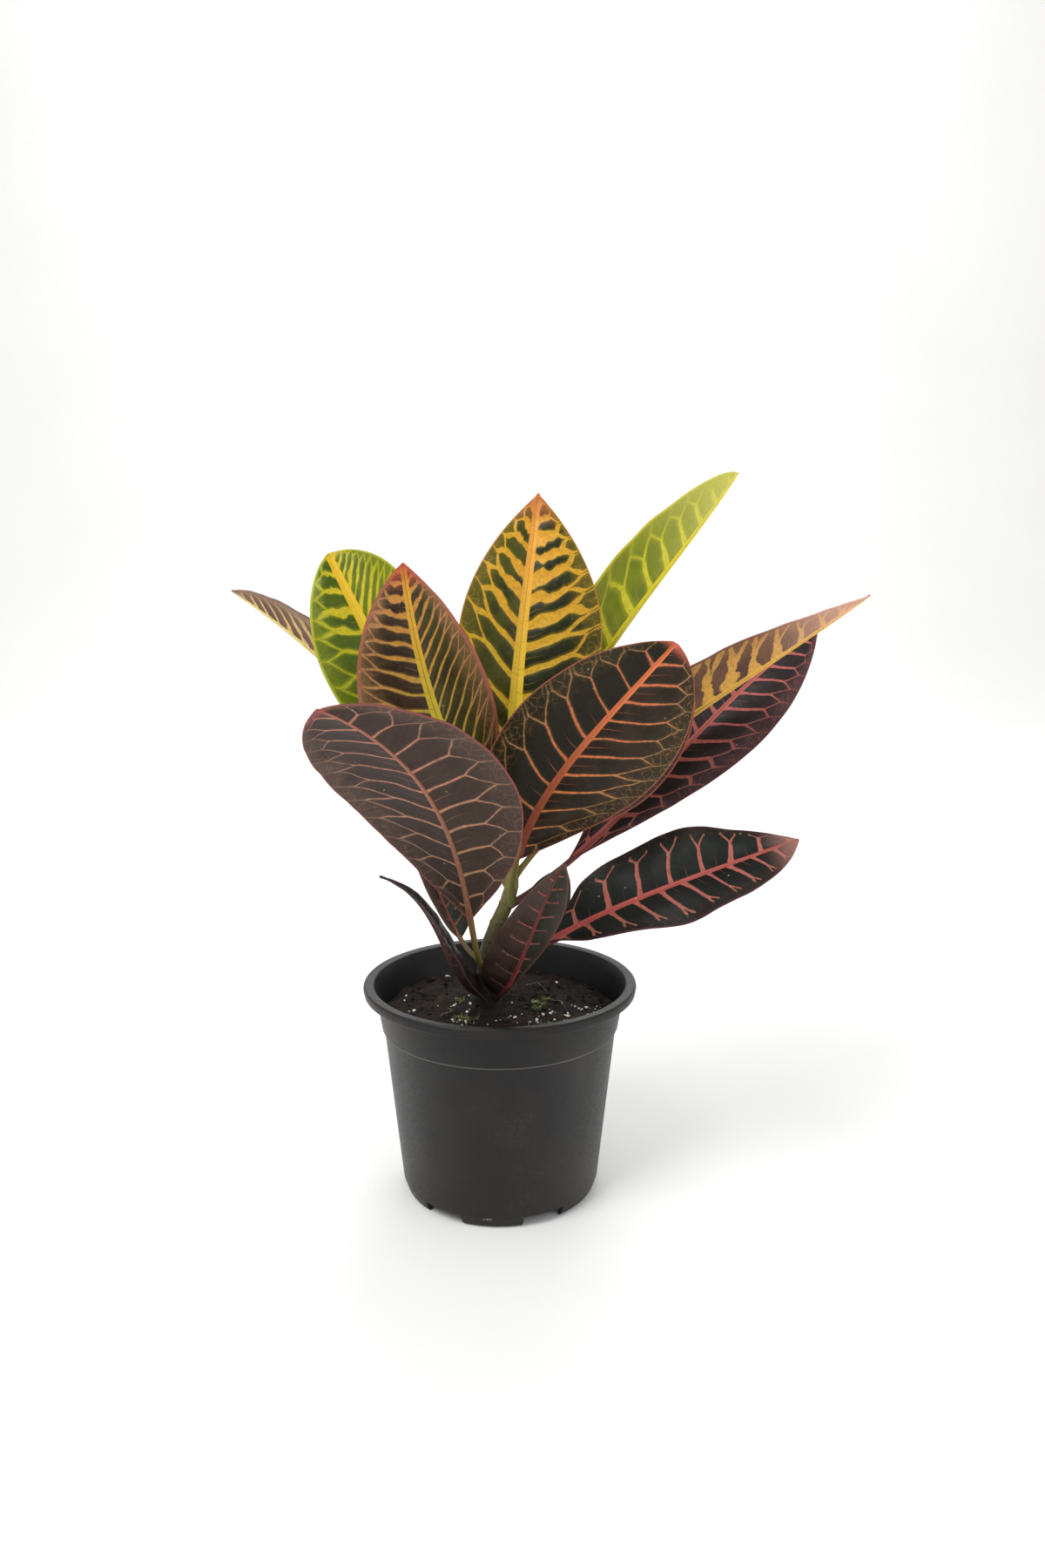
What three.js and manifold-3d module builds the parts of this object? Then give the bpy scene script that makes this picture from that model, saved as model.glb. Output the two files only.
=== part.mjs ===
// A croton in a round nursery pot: one short stem with fifteen leaves, standing in peat soil.
// Millimetres, +Z up. The origin is on the pot's axis, on the surface that the pot stands on.
// The front of the plant looks along -Y.

import * as THREE from "three";
import { mergeVertices } from "three/addons/utils/BufferGeometryUtils.js";
import Module from "manifold-3d";

const wasm = await Module();
wasm.setup();

// Pot

const POT_HEIGHT = 102;
const RIM_RADIUS = 65;
const RIM_WIDTH = 5;
const SKIRT_HEIGHT = 4.5;
const WALL = 1.2;
const TOP_RADIUS = 57.8; // outside of the plain wall, if it went up to the rim's height
const COLLAR_RADIUS = 59.2; // outside of the collar, under the rim
const COLLAR_BOTTOM = 80.5; // the wall steps in here
const COLLAR_STEP = 1;
const HEEL_HEIGHT = 6; // the wall is drawn in below this
const HEEL_RADIUS = 47.5;
const FOOT_RADIUS = 44.5;
const POT_SEGMENTS = 48;

// Under the pot: a middle disc and a foot ring touch the ground, with a raised channel between them.

const DISC_RADIUS = 33;
const CHANNEL_HEIGHT = 6;
const NOTCHES = 6;
const NOTCH_HEIGHT = 5.4;
const NOTCH_DEGREES = 25;
const FIRST_NOTCH = -65; // azimuth of a notch's middle, degrees from +X
const DRAIN_RADIUS = 3.5;

// Soil

const GAP = 0.3; // between pieces that touch
const SOIL_EDGE = 87.5;
const SOIL_MOUND = 3.5; // how much higher the soil is at the stem
const CLOD_HEIGHT = 0.7;
const SOIL_SEGMENTS = 40;

// Stem

const STEM_RADIUS = 5.4;
const STEM_TOP_RADIUS = 2.6;
const STEM_BURIED = 55; // height of its lower end, in the soil
const STEM_TOP = 205;
const STEM_SIDES = 14;
const STEM_PATH = [
  [-6, 0, STEM_BURIED],
  [-6, 0, 92],
  [-6, 0, 111],
  [-2.5, 0, 126],
  [4.5, 0.5, 143],
  [6, 1.5, 158],
  [7, 3, STEM_TOP],
];

// Leaves

const BLADE = 0.9; // thickness
const PETIOLE_RADIUS = 1.5;
const MIDRIB = 1.1; // how far the midrib stands out under the blade at its base
const PETIOLE_ROWS = 5;
const BLADE_ROWS = 13;
const HALF_COLUMNS = 3;

// Each leaf's midrib is a cubic curve: it leaves the stem at root, heads for rise, comes in from reach
// and ends at tip. The first share of its length, petiole, is stalk. face is the way that the upper
// surface looks, width the blade's full width, and base and point say how it narrows at each end
// (1 is straight, less is rounder). lean makes the right half rounder and the left one straighter
// towards the stalk, and bend the other way round towards the tip; bend is lean's value where it isn't
// given. skew makes the right half wider, fold raises both halves and wave ripples the margins.

const LEAVES = {
  // Large, low, leaning out over the rim, its underside to the front
  leaf_front_left: {
    root: [-4, -1, 103],
    rise: [-21, -9, 113],
    reach: [0, -80, 212],
    tip: [-64, -116, 242],
    face: [0, 0.7, 0.7],
    petiole: 0.24,
    width: 70,
    base: 1,
    point: 0.69,
    bend: -0.36,
    skew: 0.05,
    fold: 8,
  },
  // Large, its upper surface to the front
  leaf_front_right: {
    root: [5, -2, 139],
    rise: [5, -20, 190],
    reach: [42, -36, 225],
    tip: [74, -42, 263],
    face: [0.15, -0.95, 0.2],
    petiole: 0.17,
    width: 68,
    base: 0.75,
    point: 0.66,
    lean: -0.15,
    skew: 0.01,
    fold: 10,
  },
  // Close behind the one before
  leaf_right_hidden: {
    root: [5, 1, 152],
    rise: [14, -1, 190],
    reach: [50, -10, 215],
    tip: [85, -14, 248],
    face: [0.1, -0.95, 0.2],
    petiole: 0.2,
    width: 60,
    base: 0.75,
    point: 0.7,
    fold: 12,
  },
  leaf_left_upright: {
    root: [5, 0, 162],
    rise: [-22, -15, 201],
    reach: [-36, -26, 249],
    tip: [-40, -36, 296],
    face: [-0.05, -0.98, 0.1],
    petiole: 0.2,
    width: 58,
    base: 0.75,
    point: 0.85,
    skew: -0.07,
    fold: 8,
  },
  // Broad, behind the one before
  leaf_left_back: {
    root: [5, 1, 154],
    rise: [-30, 16, 200],
    reach: [-60, 24, 260],
    tip: [-83, 42, 303],
    face: [0.2, -0.95, 0.2],
    petiole: 0.3,
    width: 58,
    base: 0.98,
    point: 0.65,
    skew: 0,
    lean: -0.18,
    fold: 8,
  },
  // Long and folded, reaching out level to the left
  leaf_left_far: {
    root: [5, 1, 145],
    rise: [-31, 19, 206],
    reach: [-82, 45, 253],
    tip: [-138, 74, 286],
    face: [0.4, 0.2, 0.85],
    petiole: 0.4,
    width: 44,
    base: 0.7,
    point: 0.9,
    fold: 35,
  },
  // The tall one in the middle
  leaf_crown: {
    root: [7, 3, 180],
    rise: [4, 15, 228],
    reach: [13, 18, 281],
    tip: [19, 34, 331],
    face: [0, -1, 0.1],
    petiole: 0.13,
    width: 68,
    base: 0.9,
    point: 1,
    skew: 0.12,
    fold: 6,
  },
  // The highest, folded like a keel, leaning to the right and back
  leaf_right_high: {
    root: [6, 3, 170],
    rise: [30, 22, 243],
    reach: [83, 53, 289],
    tip: [124, 78, 346],
    face: [-0.46, 0.32, 0.64],
    petiole: 0.24,
    width: 58,
    base: 0.5,
    point: 0.68,
    fold: 45,
  },
  // Folded like a keel, with a long drawn-out tip
  leaf_right_far: {
    root: [5, 1, 149],
    rise: [50, 11, 209],
    reach: [110, -1, 240],
    tip: [166, -10, 283],
    face: [-0.56, 0.4, 0.75],
    petiole: 0.27,
    width: 46,
    base: 0.7,
    point: 1.1,
    fold: 42,
  },
  // Dark, behind and below the one before
  leaf_right_dark: {
    root: [5, 1, 138],
    rise: [65, 25, 170],
    reach: [101, 37, 230],
    tip: [161, 52, 267],
    face: [-0.1, -0.97, 0.3],
    petiole: 0.15,
    width: 51,
    base: 1.45,
    point: 1,
    lean: -0.1,
    fold: 8,
  },
  // Low, reaching out over the rim to the right, with a rippled margin
  leaf_right_low: {
    root: [-3, 0, 101],
    rise: [32, -24, 140],
    reach: [84, -38, 160],
    tip: [130, -40, 178],
    face: [-0.2, -0.7, 0.7],
    petiole: 0.22,
    width: 46,
    base: 1.1,
    point: 0.88,
    lean: -0.1,
    bend: -0.13,
    skew: -0.09,
    fold: 8,
    wave: 2.5,
    waves: 2.5,
  },
  // Four short ones at the foot of the stem
  leaf_low_front: {
    root: [-2, -2, 93],
    rise: [8, -24, 104],
    reach: [16, -37, 146],
    tip: [28, -44, 169],
    face: [-0.5, -0.85, -0.2],
    petiole: 0.04,
    width: 27,
    base: 1.15,
    point: 0.8,
    lean: -0.65,
    bend: -0.15,
    skew: -0.2,
    fold: 15,
  },
  leaf_low_left: {
    root: [-6, -1, 93],
    rise: [-27, -16, 102],
    reach: [-22, -46, 154],
    tip: [-50, -58, 167],
    face: [0.3, -0.4, 0.8],
    petiole: 0.06,
    width: 20,
    base: 0.12,
    point: 1,
    fold: 28,
  },
  leaf_low_right: {
    root: [-3, 0, 109],
    rise: [16, 2, 117],
    reach: [24, -2, 137],
    tip: [31, -4, 157],
    face: [-0.3, -0.7, 0.4],
    petiole: 0.25,
    width: 24,
    base: 0.85,
    point: 0.75,
    fold: 20,
  },
  leaf_low_back: {
    root: [-3, 1, 107],
    rise: [-21, 6, 110],
    reach: [-28, 14, 138],
    tip: [-54, 26, 200],
    face: [0.2, -0.8, 0.5],
    petiole: 0.2,
    width: 23,
    base: 0.65,
    point: 1.2,
    skew: 0.5,
    fold: 15,
  },
};

// Colours: the main tone of each piece

const POT_COLOUR = 0x2b2b2c;
const SOIL_COLOUR = 0x2a1f1a;
const STEM_COLOUR = 0x5d5a3c;
const LEAF_COLOURS = {
  leaf_front_left: 0x4a3632,
  leaf_front_right: 0x2f2f22,
  leaf_right_hidden: 0x33301f,
  leaf_left_upright: 0x4f4226,
  leaf_left_back: 0x5f7a1e,
  leaf_left_far: 0xb98f4a,
  leaf_crown: 0x5e5a20,
  leaf_right_high: 0x90a128,
  leaf_right_far: 0x8f6a34,
  leaf_right_dark: 0x2c2622,
  leaf_right_low: 0x26261f,
  leaf_low_front: 0x3c2f2a,
  leaf_low_left: 0x332a2a,
  leaf_low_right: 0x2a2a20,
  leaf_low_back: 0x45322c,
};

const radians = THREE.MathUtils.degToRad;

// Solids

// A closed geometry as a solid that can be joined and cut.
function solidOf(geometry) {
  const bare = geometry.clone();
  bare.deleteAttribute("normal");
  bare.deleteAttribute("uv");
  const merged = mergeVertices(bare, 1e-4);
  return new wasm.Manifold(
    new wasm.Mesh({
      numProp: 3,
      vertProperties: new Float32Array(merged.attributes.position.array),
      triVerts: new Uint32Array(merged.index.array),
    }),
  );
}

function geometryOf(solid) {
  const mesh = solid.getMesh();
  const geometry = new THREE.BufferGeometry();
  geometry.setAttribute(
    "position",
    new THREE.BufferAttribute(mesh.vertProperties, 3),
  );
  geometry.setIndex(new THREE.BufferAttribute(mesh.triVerts, 1));
  geometry.computeVertexNormals();
  return geometry;
}

function piece(name, geometry, colour, roughness) {
  const material = new THREE.MeshStandardMaterial({
    color: colour,
    roughness,
    metalness: 0,
    flatShading: true,
  });
  const mesh = new THREE.Mesh(geometry, material);
  mesh.name = name;
  return mesh;
}

// A turned body: a closed profile of [radius, height] points about the Z axis.
function turned(profile, segments) {
  const points = profile.map(([r, z]) => new THREE.Vector2(r, z));
  const geometry = new THREE.LatheGeometry(points, segments);
  geometry.rotateX(Math.PI / 2);
  return geometry;
}

// A closed strip of rings, each with the same count of points, with flat ends.
// A ring has an upper row and a lower row, both from left to right, and both are split alike.
function lofted(rings) {
  const columns = rings[0].upper.length;
  const size = 2 * columns;
  const points = rings.flatMap((ring) => [...ring.upper, ...ring.lower]);
  const index = [];
  const upper = (i, j) => i * size + j;
  const lower = (i, j) => i * size + columns + j;
  const quad = (a, b, c, d) => index.push(a, b, c, a, c, d);
  const last = rings.length - 1;
  const edge = columns - 1;
  for (let i = 0; i < last; i++) {
    for (let j = 0; j < edge; j++) {
      quad(upper(i, j), upper(i, j + 1), upper(i + 1, j + 1), upper(i + 1, j));
      quad(lower(i, j), lower(i + 1, j), lower(i + 1, j + 1), lower(i, j + 1));
    }
    quad(upper(i, edge), lower(i, edge), lower(i + 1, edge), upper(i + 1, edge));
    quad(upper(i, 0), upper(i + 1, 0), lower(i + 1, 0), lower(i, 0));
  }
  for (let j = 0; j < edge; j++) {
    quad(upper(0, j), lower(0, j), lower(0, j + 1), upper(0, j + 1));
    quad(upper(last, j), upper(last, j + 1), lower(last, j + 1), lower(last, j));
  }
  const geometry = new THREE.BufferGeometry();
  geometry.setFromPoints(points);
  geometry.setIndex(index);
  return geometry;
}

// Pot

// Outside radius of the wall at a height, between the heel and the step of the collar.
function wallRadius(z) {
  return THREE.MathUtils.mapLinear(z, HEEL_HEIGHT, POT_HEIGHT, HEEL_RADIUS, TOP_RADIUS);
}

function potProfile() {
  const rimInner = RIM_RADIUS - RIM_WIDTH;
  const skirtBottom = POT_HEIGHT - SKIRT_HEIGHT;
  const underRim = POT_HEIGHT - WALL;
  const flare = 3; // the wall turns out into the rim over this height
  const channelInner = DISC_RADIUS + CHANNEL_HEIGHT / 2;
  const channelOuter = FOOT_RADIUS - WALL;
  const heelInner = wallRadius(CHANNEL_HEIGHT) - WALL;
  return [
    [0, 0],
    [DISC_RADIUS, 0],
    [channelInner, CHANNEL_HEIGHT],
    [channelOuter + WALL, CHANNEL_HEIGHT],
    [channelOuter, 0],
    [FOOT_RADIUS, 0],
    [FOOT_RADIUS + 1.4, 1.2],
    [HEEL_RADIUS, HEEL_HEIGHT],
    [wallRadius(COLLAR_BOTTOM), COLLAR_BOTTOM],
    [wallRadius(COLLAR_BOTTOM) + COLLAR_STEP, COLLAR_BOTTOM + 0.5],
    [COLLAR_RADIUS, underRim - flare],
    [COLLAR_RADIUS + 1.4, underRim],
    [RIM_RADIUS - WALL, underRim],
    [RIM_RADIUS - WALL - 0.5, skirtBottom],
    [RIM_RADIUS - 0.5, skirtBottom],
    [RIM_RADIUS, POT_HEIGHT - 1.2],
    [RIM_RADIUS - 0.8, POT_HEIGHT],
    [rimInner + 0.6, POT_HEIGHT],
    [rimInner - 0.2, POT_HEIGHT - 0.8],
    [COLLAR_RADIUS - WALL, underRim - flare - 0.6],
    [wallRadius(COLLAR_BOTTOM) + COLLAR_STEP - WALL, COLLAR_BOTTOM + 1],
    [wallRadius(COLLAR_BOTTOM) - WALL, COLLAR_BOTTOM - 1],
    [heelInner, CHANNEL_HEIGHT + WALL],
    [channelInner - WALL / 2, CHANNEL_HEIGHT + WALL],
    [DISC_RADIUS - WALL / 2, WALL],
    [0, WALL],
  ];
}

// A wedge of a ring, from the ground up to the notch's top.
function notchCutter(azimuth) {
  const half = radians(NOTCH_DEGREES / 2);
  const inner = FOOT_RADIUS - 3 * WALL;
  const outer = HEEL_RADIUS + 2;
  const shape = new THREE.Shape();
  shape.absarc(0, 0, outer, -half, half, false);
  shape.absarc(0, 0, inner, half, -half, true);
  const geometry = new THREE.ExtrudeGeometry(shape, {
    depth: NOTCH_HEIGHT + 1,
    bevelEnabled: false,
    curveSegments: 8,
  });
  geometry.translate(0, 0, -1);
  geometry.rotateZ(azimuth);
  return geometry;
}

// A drain hole through the roof of the channel.
function drainCutter(azimuth) {
  const geometry = new THREE.CylinderGeometry(DRAIN_RADIUS, DRAIN_RADIUS, 4, 16);
  const middle = (DISC_RADIUS + CHANNEL_HEIGHT / 2 + FOOT_RADIUS) / 2;
  geometry.rotateX(Math.PI / 2);
  geometry.translate(middle, 0, CHANNEL_HEIGHT + WALL / 2);
  geometry.rotateZ(azimuth);
  return geometry;
}

function pot() {
  let body = solidOf(turned(potProfile(), POT_SEGMENTS));
  for (let i = 0; i < NOTCHES; i++) {
    const azimuth = radians(FIRST_NOTCH + (360 / NOTCHES) * i);
    body = body.subtract(solidOf(notchCutter(azimuth)));
    body = body.subtract(solidOf(drainCutter(azimuth)));
  }
  return piece("pot", geometryOf(body), POT_COLOUR, 0.45);
}

// Stem

const stemCurve = new THREE.CatmullRomCurve3(
  STEM_PATH.map((p) => new THREE.Vector3(...p)),
);

// The stem thins upwards, swells a little at the leaf scars and closes in a blunt bud.
function stemRadius(t) {
  const taper = THREE.MathUtils.lerp(STEM_RADIUS, STEM_TOP_RADIUS, t);
  const scars = 0.15 * Math.sin(t * 24 * Math.PI);
  const bud = Math.sqrt(Math.min(1, (1 - t) * 14 + 0.08));
  return (taper + scars) * bud;
}

function stemGeometry(extra, steps) {
  const rings = [];
  for (let i = 0; i <= steps; i++) {
    const t = i / steps;
    const centre = stemCurve.getPointAt(t);
    const radius = stemRadius(t) + extra;
    const half = STEM_SIDES / 2;
    const row = (sign) =>
      Array.from({ length: half }, (_, k) => {
        const angle = (Math.PI * (k + 0.5)) / half;
        const x = -Math.cos(angle) * radius;
        const y = sign * Math.sin(angle) * radius;
        return new THREE.Vector3(x, y, 0).add(centre);
      });
    rings.push({ upper: row(-1), lower: row(1) });
  }
  return lofted(rings);
}

// Soil

function soilRelief(x, y) {
  const coarse = Math.sin(x * 0.21 + 1.3) * Math.cos(y * 0.24 - 0.4);
  const fine = Math.sin(x * 0.53 - y * 0.31) * Math.cos(y * 0.61 + x * 0.17 + 2.1);
  return CLOD_HEIGHT * (coarse + 0.6 * fine);
}

function soil() {
  const edge = wallRadius(SOIL_EDGE) + COLLAR_STEP - WALL - GAP;
  const stepRadius = wallRadius(COLLAR_BOTTOM) - WALL - GAP;
  const heel = wallRadius(CHANNEL_HEIGHT) - WALL - GAP;
  const roof = CHANNEL_HEIGHT + WALL + GAP;
  const top = [];
  const rings = 7;
  for (let i = 0; i <= rings; i++) {
    const share = 1 - i / rings;
    const rise = SOIL_MOUND * (1 - share * share);
    top.push([edge * share, SOIL_EDGE + rise]);
  }
  const profile = [
    [0, WALL + GAP],
    [DISC_RADIUS - WALL, WALL + GAP],
    [DISC_RADIUS + CHANNEL_HEIGHT / 2 - WALL, roof],
    [heel, roof],
    [stepRadius, COLLAR_BOTTOM - 1],
    ...top,
  ];
  const geometry = mergeVertices(turned(profile, SOIL_SEGMENTS));
  const position = geometry.attributes.position;
  for (let i = 0; i < position.count; i++) {
    const [x, y, z] = [position.getX(i), position.getY(i), position.getZ(i)];
    const inside = Math.hypot(x, y) < edge - 1;
    if (z > COLLAR_BOTTOM && inside) position.setZ(i, z + soilRelief(x, y));
  }
  const hole = solidOf(stemGeometry(GAP, 20));
  const bottom = solidOf(stemGeometry(GAP, 20).translate(0, 0, -GAP));
  const body = solidOf(geometry).subtract(hole).subtract(bottom);
  return piece("soil", geometryOf(body), SOIL_COLOUR, 0.95);
}

// Leaves

// Half the blade's width at a share of its length, as a share of the widest.
function outline(share, base, point) {
  const widest = base / (base + point);
  const rising = Math.pow(share / widest, base);
  const falling = Math.pow((1 - share) / (1 - widest), point);
  return rising * falling;
}

// The frame of the midrib at a share of its length: its place, and its forward, right and up.
function midribFrame(curve, share, face) {
  const place = curve.getPointAt(share);
  const forward = curve.getTangentAt(share);
  const up = face.clone().addScaledVector(forward, -face.dot(forward)).normalize();
  const right = forward.clone().cross(up);
  return { place, right, up };
}

// A point of the stalk's round section; column runs from -1 to 1 over it, side is 1 above, -1 below.
function stalkPoint(frame, column, side) {
  const angle = (Math.PI / 2) * (1 - 0.9 * column);
  return frame.place
    .clone()
    .addScaledVector(frame.right, Math.cos(angle) * PETIOLE_RADIUS)
    .addScaledVector(frame.up, side * Math.sin(angle) * PETIOLE_RADIUS);
}

// A point of the blade, at a share of its length.
function bladePoint(leaf, frame, share, column, side) {
  const { width, base, point, lean = 0, bend = lean, skew = 0, wave = 0, waves = 3 } = leaf;
  const half = Math.sign(column);
  const reach = Math.abs(column);
  const belly = outline(share, base * (1 - half * lean), point * (1 + half * bend));
  const span = Math.max(0.7, (width / 2) * (1 + half * skew) * belly);
  const fold = radians(leaf.fold);
  const ripple = wave * reach * reach * Math.sin(2 * Math.PI * (waves * share + 0.37 * half));
  const settled = Math.min(1, 6 * share * (1 - share));
  const rib = column === 0 && side < 0 ? MIDRIB * (1 - share) : 0;
  const across = half * reach * span * Math.cos(fold);
  const lift = reach * span * Math.sin(fold) + ripple * settled;
  const skin = side * (BLADE / 2 + rib);
  return frame.place
    .clone()
    .addScaledVector(frame.right, across - skin * half * Math.sin(fold))
    .addScaledVector(frame.up, lift + skin * Math.cos(fold));
}

function leafGeometry(leaf) {
  const handles = [leaf.root, leaf.rise, leaf.reach, leaf.tip];
  const curve = new THREE.CubicBezierCurve3(
    ...handles.map((p) => new THREE.Vector3(...p)),
  );
  const face = new THREE.Vector3(...leaf.face);
  const columns = Array.from(
    { length: 2 * HALF_COLUMNS + 1 },
    (_, k) => k / HALF_COLUMNS - 1,
  );
  const rings = [];
  for (let i = 0; i < PETIOLE_ROWS; i++) {
    const frame = midribFrame(curve, (leaf.petiole * i) / PETIOLE_ROWS, face);
    rings.push({
      upper: columns.map((c) => stalkPoint(frame, c, 1)),
      lower: columns.map((c) => stalkPoint(frame, c, -1)),
    });
  }
  for (let i = 0; i <= BLADE_ROWS; i++) {
    const share = i / BLADE_ROWS;
    const frame = midribFrame(curve, leaf.petiole + (1 - leaf.petiole) * share, face);
    const blend = Math.min(1, (i + 0.25) / 2); // the stalk flattens out into the blade
    const point = (c, side) =>
      stalkPoint(frame, c, side).lerp(bladePoint(leaf, frame, share, c, side), blend);
    rings.push({
      upper: columns.map((c) => point(c, 1)),
      lower: columns.map((c) => point(c, -1)),
    });
  }
  return lofted(rings);
}

// Assembly

const stemSolid = solidOf(stemGeometry(0, 40));
const stemRoom = solidOf(stemGeometry(GAP, 40));

const croton = new THREE.Group();
croton.add(pot());
croton.add(soil());
croton.add(piece("stem", geometryOf(stemSolid), STEM_COLOUR, 0.7));
for (const [name, leaf] of Object.entries(LEAVES)) {
  const body = solidOf(leafGeometry(leaf)).subtract(stemRoom);
  croton.add(piece(name, geometryOf(body), LEAF_COLOURS[name], 0.4));
}

export default croton;
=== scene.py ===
"""A croton in a black nursery pot: fifteen veined leaves on one short stem, in peat soil."""

import logging
import math
import random
from dataclasses import dataclass, field, replace
from enum import Enum
from typing import Callable, Iterable, Sequence

import bmesh
import bpy
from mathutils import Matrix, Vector, noise


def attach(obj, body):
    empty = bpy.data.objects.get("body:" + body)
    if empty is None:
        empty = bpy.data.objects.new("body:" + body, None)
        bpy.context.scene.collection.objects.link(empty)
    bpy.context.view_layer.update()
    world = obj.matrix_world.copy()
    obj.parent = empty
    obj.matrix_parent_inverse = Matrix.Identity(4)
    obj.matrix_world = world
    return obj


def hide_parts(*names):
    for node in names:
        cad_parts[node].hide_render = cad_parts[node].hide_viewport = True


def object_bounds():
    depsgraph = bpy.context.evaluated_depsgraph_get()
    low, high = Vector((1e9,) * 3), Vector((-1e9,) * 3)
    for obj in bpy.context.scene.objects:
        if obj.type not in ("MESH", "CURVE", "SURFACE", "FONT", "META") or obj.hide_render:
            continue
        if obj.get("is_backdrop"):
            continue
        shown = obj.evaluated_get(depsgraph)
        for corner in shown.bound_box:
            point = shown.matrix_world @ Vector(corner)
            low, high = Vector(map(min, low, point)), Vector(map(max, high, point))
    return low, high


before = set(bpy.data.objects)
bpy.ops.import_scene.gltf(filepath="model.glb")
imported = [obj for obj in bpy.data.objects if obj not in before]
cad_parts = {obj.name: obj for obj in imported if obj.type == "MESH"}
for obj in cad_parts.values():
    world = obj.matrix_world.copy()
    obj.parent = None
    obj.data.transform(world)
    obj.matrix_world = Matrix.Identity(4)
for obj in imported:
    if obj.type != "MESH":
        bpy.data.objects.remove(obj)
CAD_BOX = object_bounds()

LOG = logging.getLogger("croton")
MM = 0.001
SEED = 11

EAST = Vector((1, 0, 0))
NORTH = Vector((0, 1, 0))
UP = Vector((0, 0, 1))

Point = tuple[float, float, float]
Colour = tuple[float, float, float, float]
Socket = bpy.types.NodeSocket
Station = tuple[Vector, Vector, Vector, float, float]


def colour(code: str) -> Colour:
    """Turns a hexadecimal screen colour into the linear values that shaders take.

    Args:
        code: six hexadecimal digits.

    Returns:
        Linear red, green and blue, and an alpha of 1.
    """

    def linear(share: float) -> float:
        """Undoes the screen's gamma."""
        return share / 12.92 if share <= 0.04045 else ((share + 0.055) / 1.055) ** 2.4

    parts = [int(code[i : i + 2], 16) / 255 for i in (0, 2, 4)]
    return (linear(parts[0]), linear(parts[1]), linear(parts[2]), 1.0)


def smooth(low: float, high: float, value: float) -> float:
    """Rises from 0 at low to 1 at high, with level ends."""
    share = min(1.0, max(0.0, (value - low) / (high - low)))
    return share * share * (3 - 2 * share)


# Shader wiring


class Wiring:
    """Adds nodes to one tree and links them, so that a pattern reads as a formula."""

    def __init__(self, tree: bpy.types.NodeTree) -> None:
        """Takes the tree that the nodes go into."""
        self.tree = tree

    def node(
        self, kind: str, given: dict[int | str, object] | None = None, **settings: object
    ) -> bpy.types.Node:
        """Adds one node.

        Args:
            kind: its type in Blender.
            given: its inputs, by name or by number.
            settings: its properties.

        Returns:
            The node.
        """
        made = self.tree.nodes.new(kind)
        for name, value in settings.items():
            setattr(made, name, value)
        for key, source in (given or {}).items():
            self.feed(made.inputs[key], source)
        return made

    def feed(self, socket: Socket, source: object) -> None:
        """Gives a socket its input.

        Args:
            socket: the socket.
            source: another socket to link it to, or a value.
        """
        if isinstance(source, bpy.types.NodeSocket):
            self.tree.links.new(source, socket)
        else:
            socket.default_value = source

    def math(self, operation: str, *sources: object, clamp: bool = False) -> Socket:
        """Adds a Math node.

        Args:
            operation: its name in Blender.
            sources: its inputs in order.
            clamp: keeps the result between 0 and 1.

        Returns:
            The result's socket.
        """
        given = dict(enumerate(sources))
        return self.node("ShaderNodeMath", given, operation=operation, use_clamp=clamp).outputs[0]

    def chain(self, operation: str, sources: Sequence[object]) -> Socket:
        """Runs one operation over several values.

        Args:
            operation: its name in Blender.
            sources: two or more inputs, taken in order.

        Returns:
            The result's socket.
        """
        total = sources[0]
        for source in sources[1:]:
            total = self.math(operation, total, source)
        return total

    def add(self, *sources: object) -> Socket:
        """Adds two or more values."""
        return self.chain("ADD", sources)

    def times(self, *sources: object) -> Socket:
        """Multiplies two or more values."""
        return self.chain("MULTIPLY", sources)

    def minus(self, first: object, second: object) -> Socket:
        """Takes the second value from the first."""
        return self.math("SUBTRACT", first, second)

    def over(self, first: object, second: object) -> Socket:
        """Divides the first value by the second."""
        return self.math("DIVIDE", first, second)

    def rise(self, value: object, low: object, high: object) -> Socket:
        """A smooth step from 0 at low to 1 at high."""
        given = {"Value": value, "From Min": low, "From Max": high}
        return self.node("ShaderNodeMapRange", given, interpolation_type="SMOOTHSTEP").outputs["Result"]

    def fall(self, value: object, low: object, high: object) -> Socket:
        """A smooth step from 1 at low to 0 at high."""
        return self.minus(1.0, self.rise(value, low, high))

    def number(self, share: object, first: object, second: object) -> Socket:
        """Mixes two numbers."""
        return self.node("ShaderNodeMix", {0: share, 2: first, 3: second}, data_type="FLOAT").outputs[0]

    def blend(self, share: object, first: object, second: object) -> Socket:
        """Mixes two colours."""
        return self.node("ShaderNodeMix", {0: share, 6: first, 7: second}, data_type="RGBA").outputs[2]

    def grain(self, place: Socket, scale: object, detail: float = 3.0) -> Socket:
        """Fractal noise from 0 to 1."""
        given = {"Vector": place, "Scale": scale, "Detail": detail}
        return self.node("ShaderNodeTexNoise", given).outputs["Fac"]

    def cells(self, place: Socket, scale: float, feature: str = "F1") -> bpy.types.Node:
        """A Voronoi node."""
        return self.node("ShaderNodeTexVoronoi", {"Vector": place, "Scale": scale}, feature=feature)

    def place(self) -> Socket:
        """Object coordinates, in metres."""
        return self.node("ShaderNodeTexCoord").outputs["Object"]

    def split(self, vector: Socket) -> bpy.types.NodeOutputs:
        """The three parts of a vector."""
        return self.node("ShaderNodeSeparateXYZ", {0: vector}).outputs

    def join(self, x: object, y: object, z: object) -> Socket:
        """A vector from three values."""
        return self.node("ShaderNodeCombineXYZ", {0: x, 1: y, 2: z}).outputs[0]


FLOAT = "NodeSocketFloat"
TINT = "NodeSocketColor"


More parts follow.
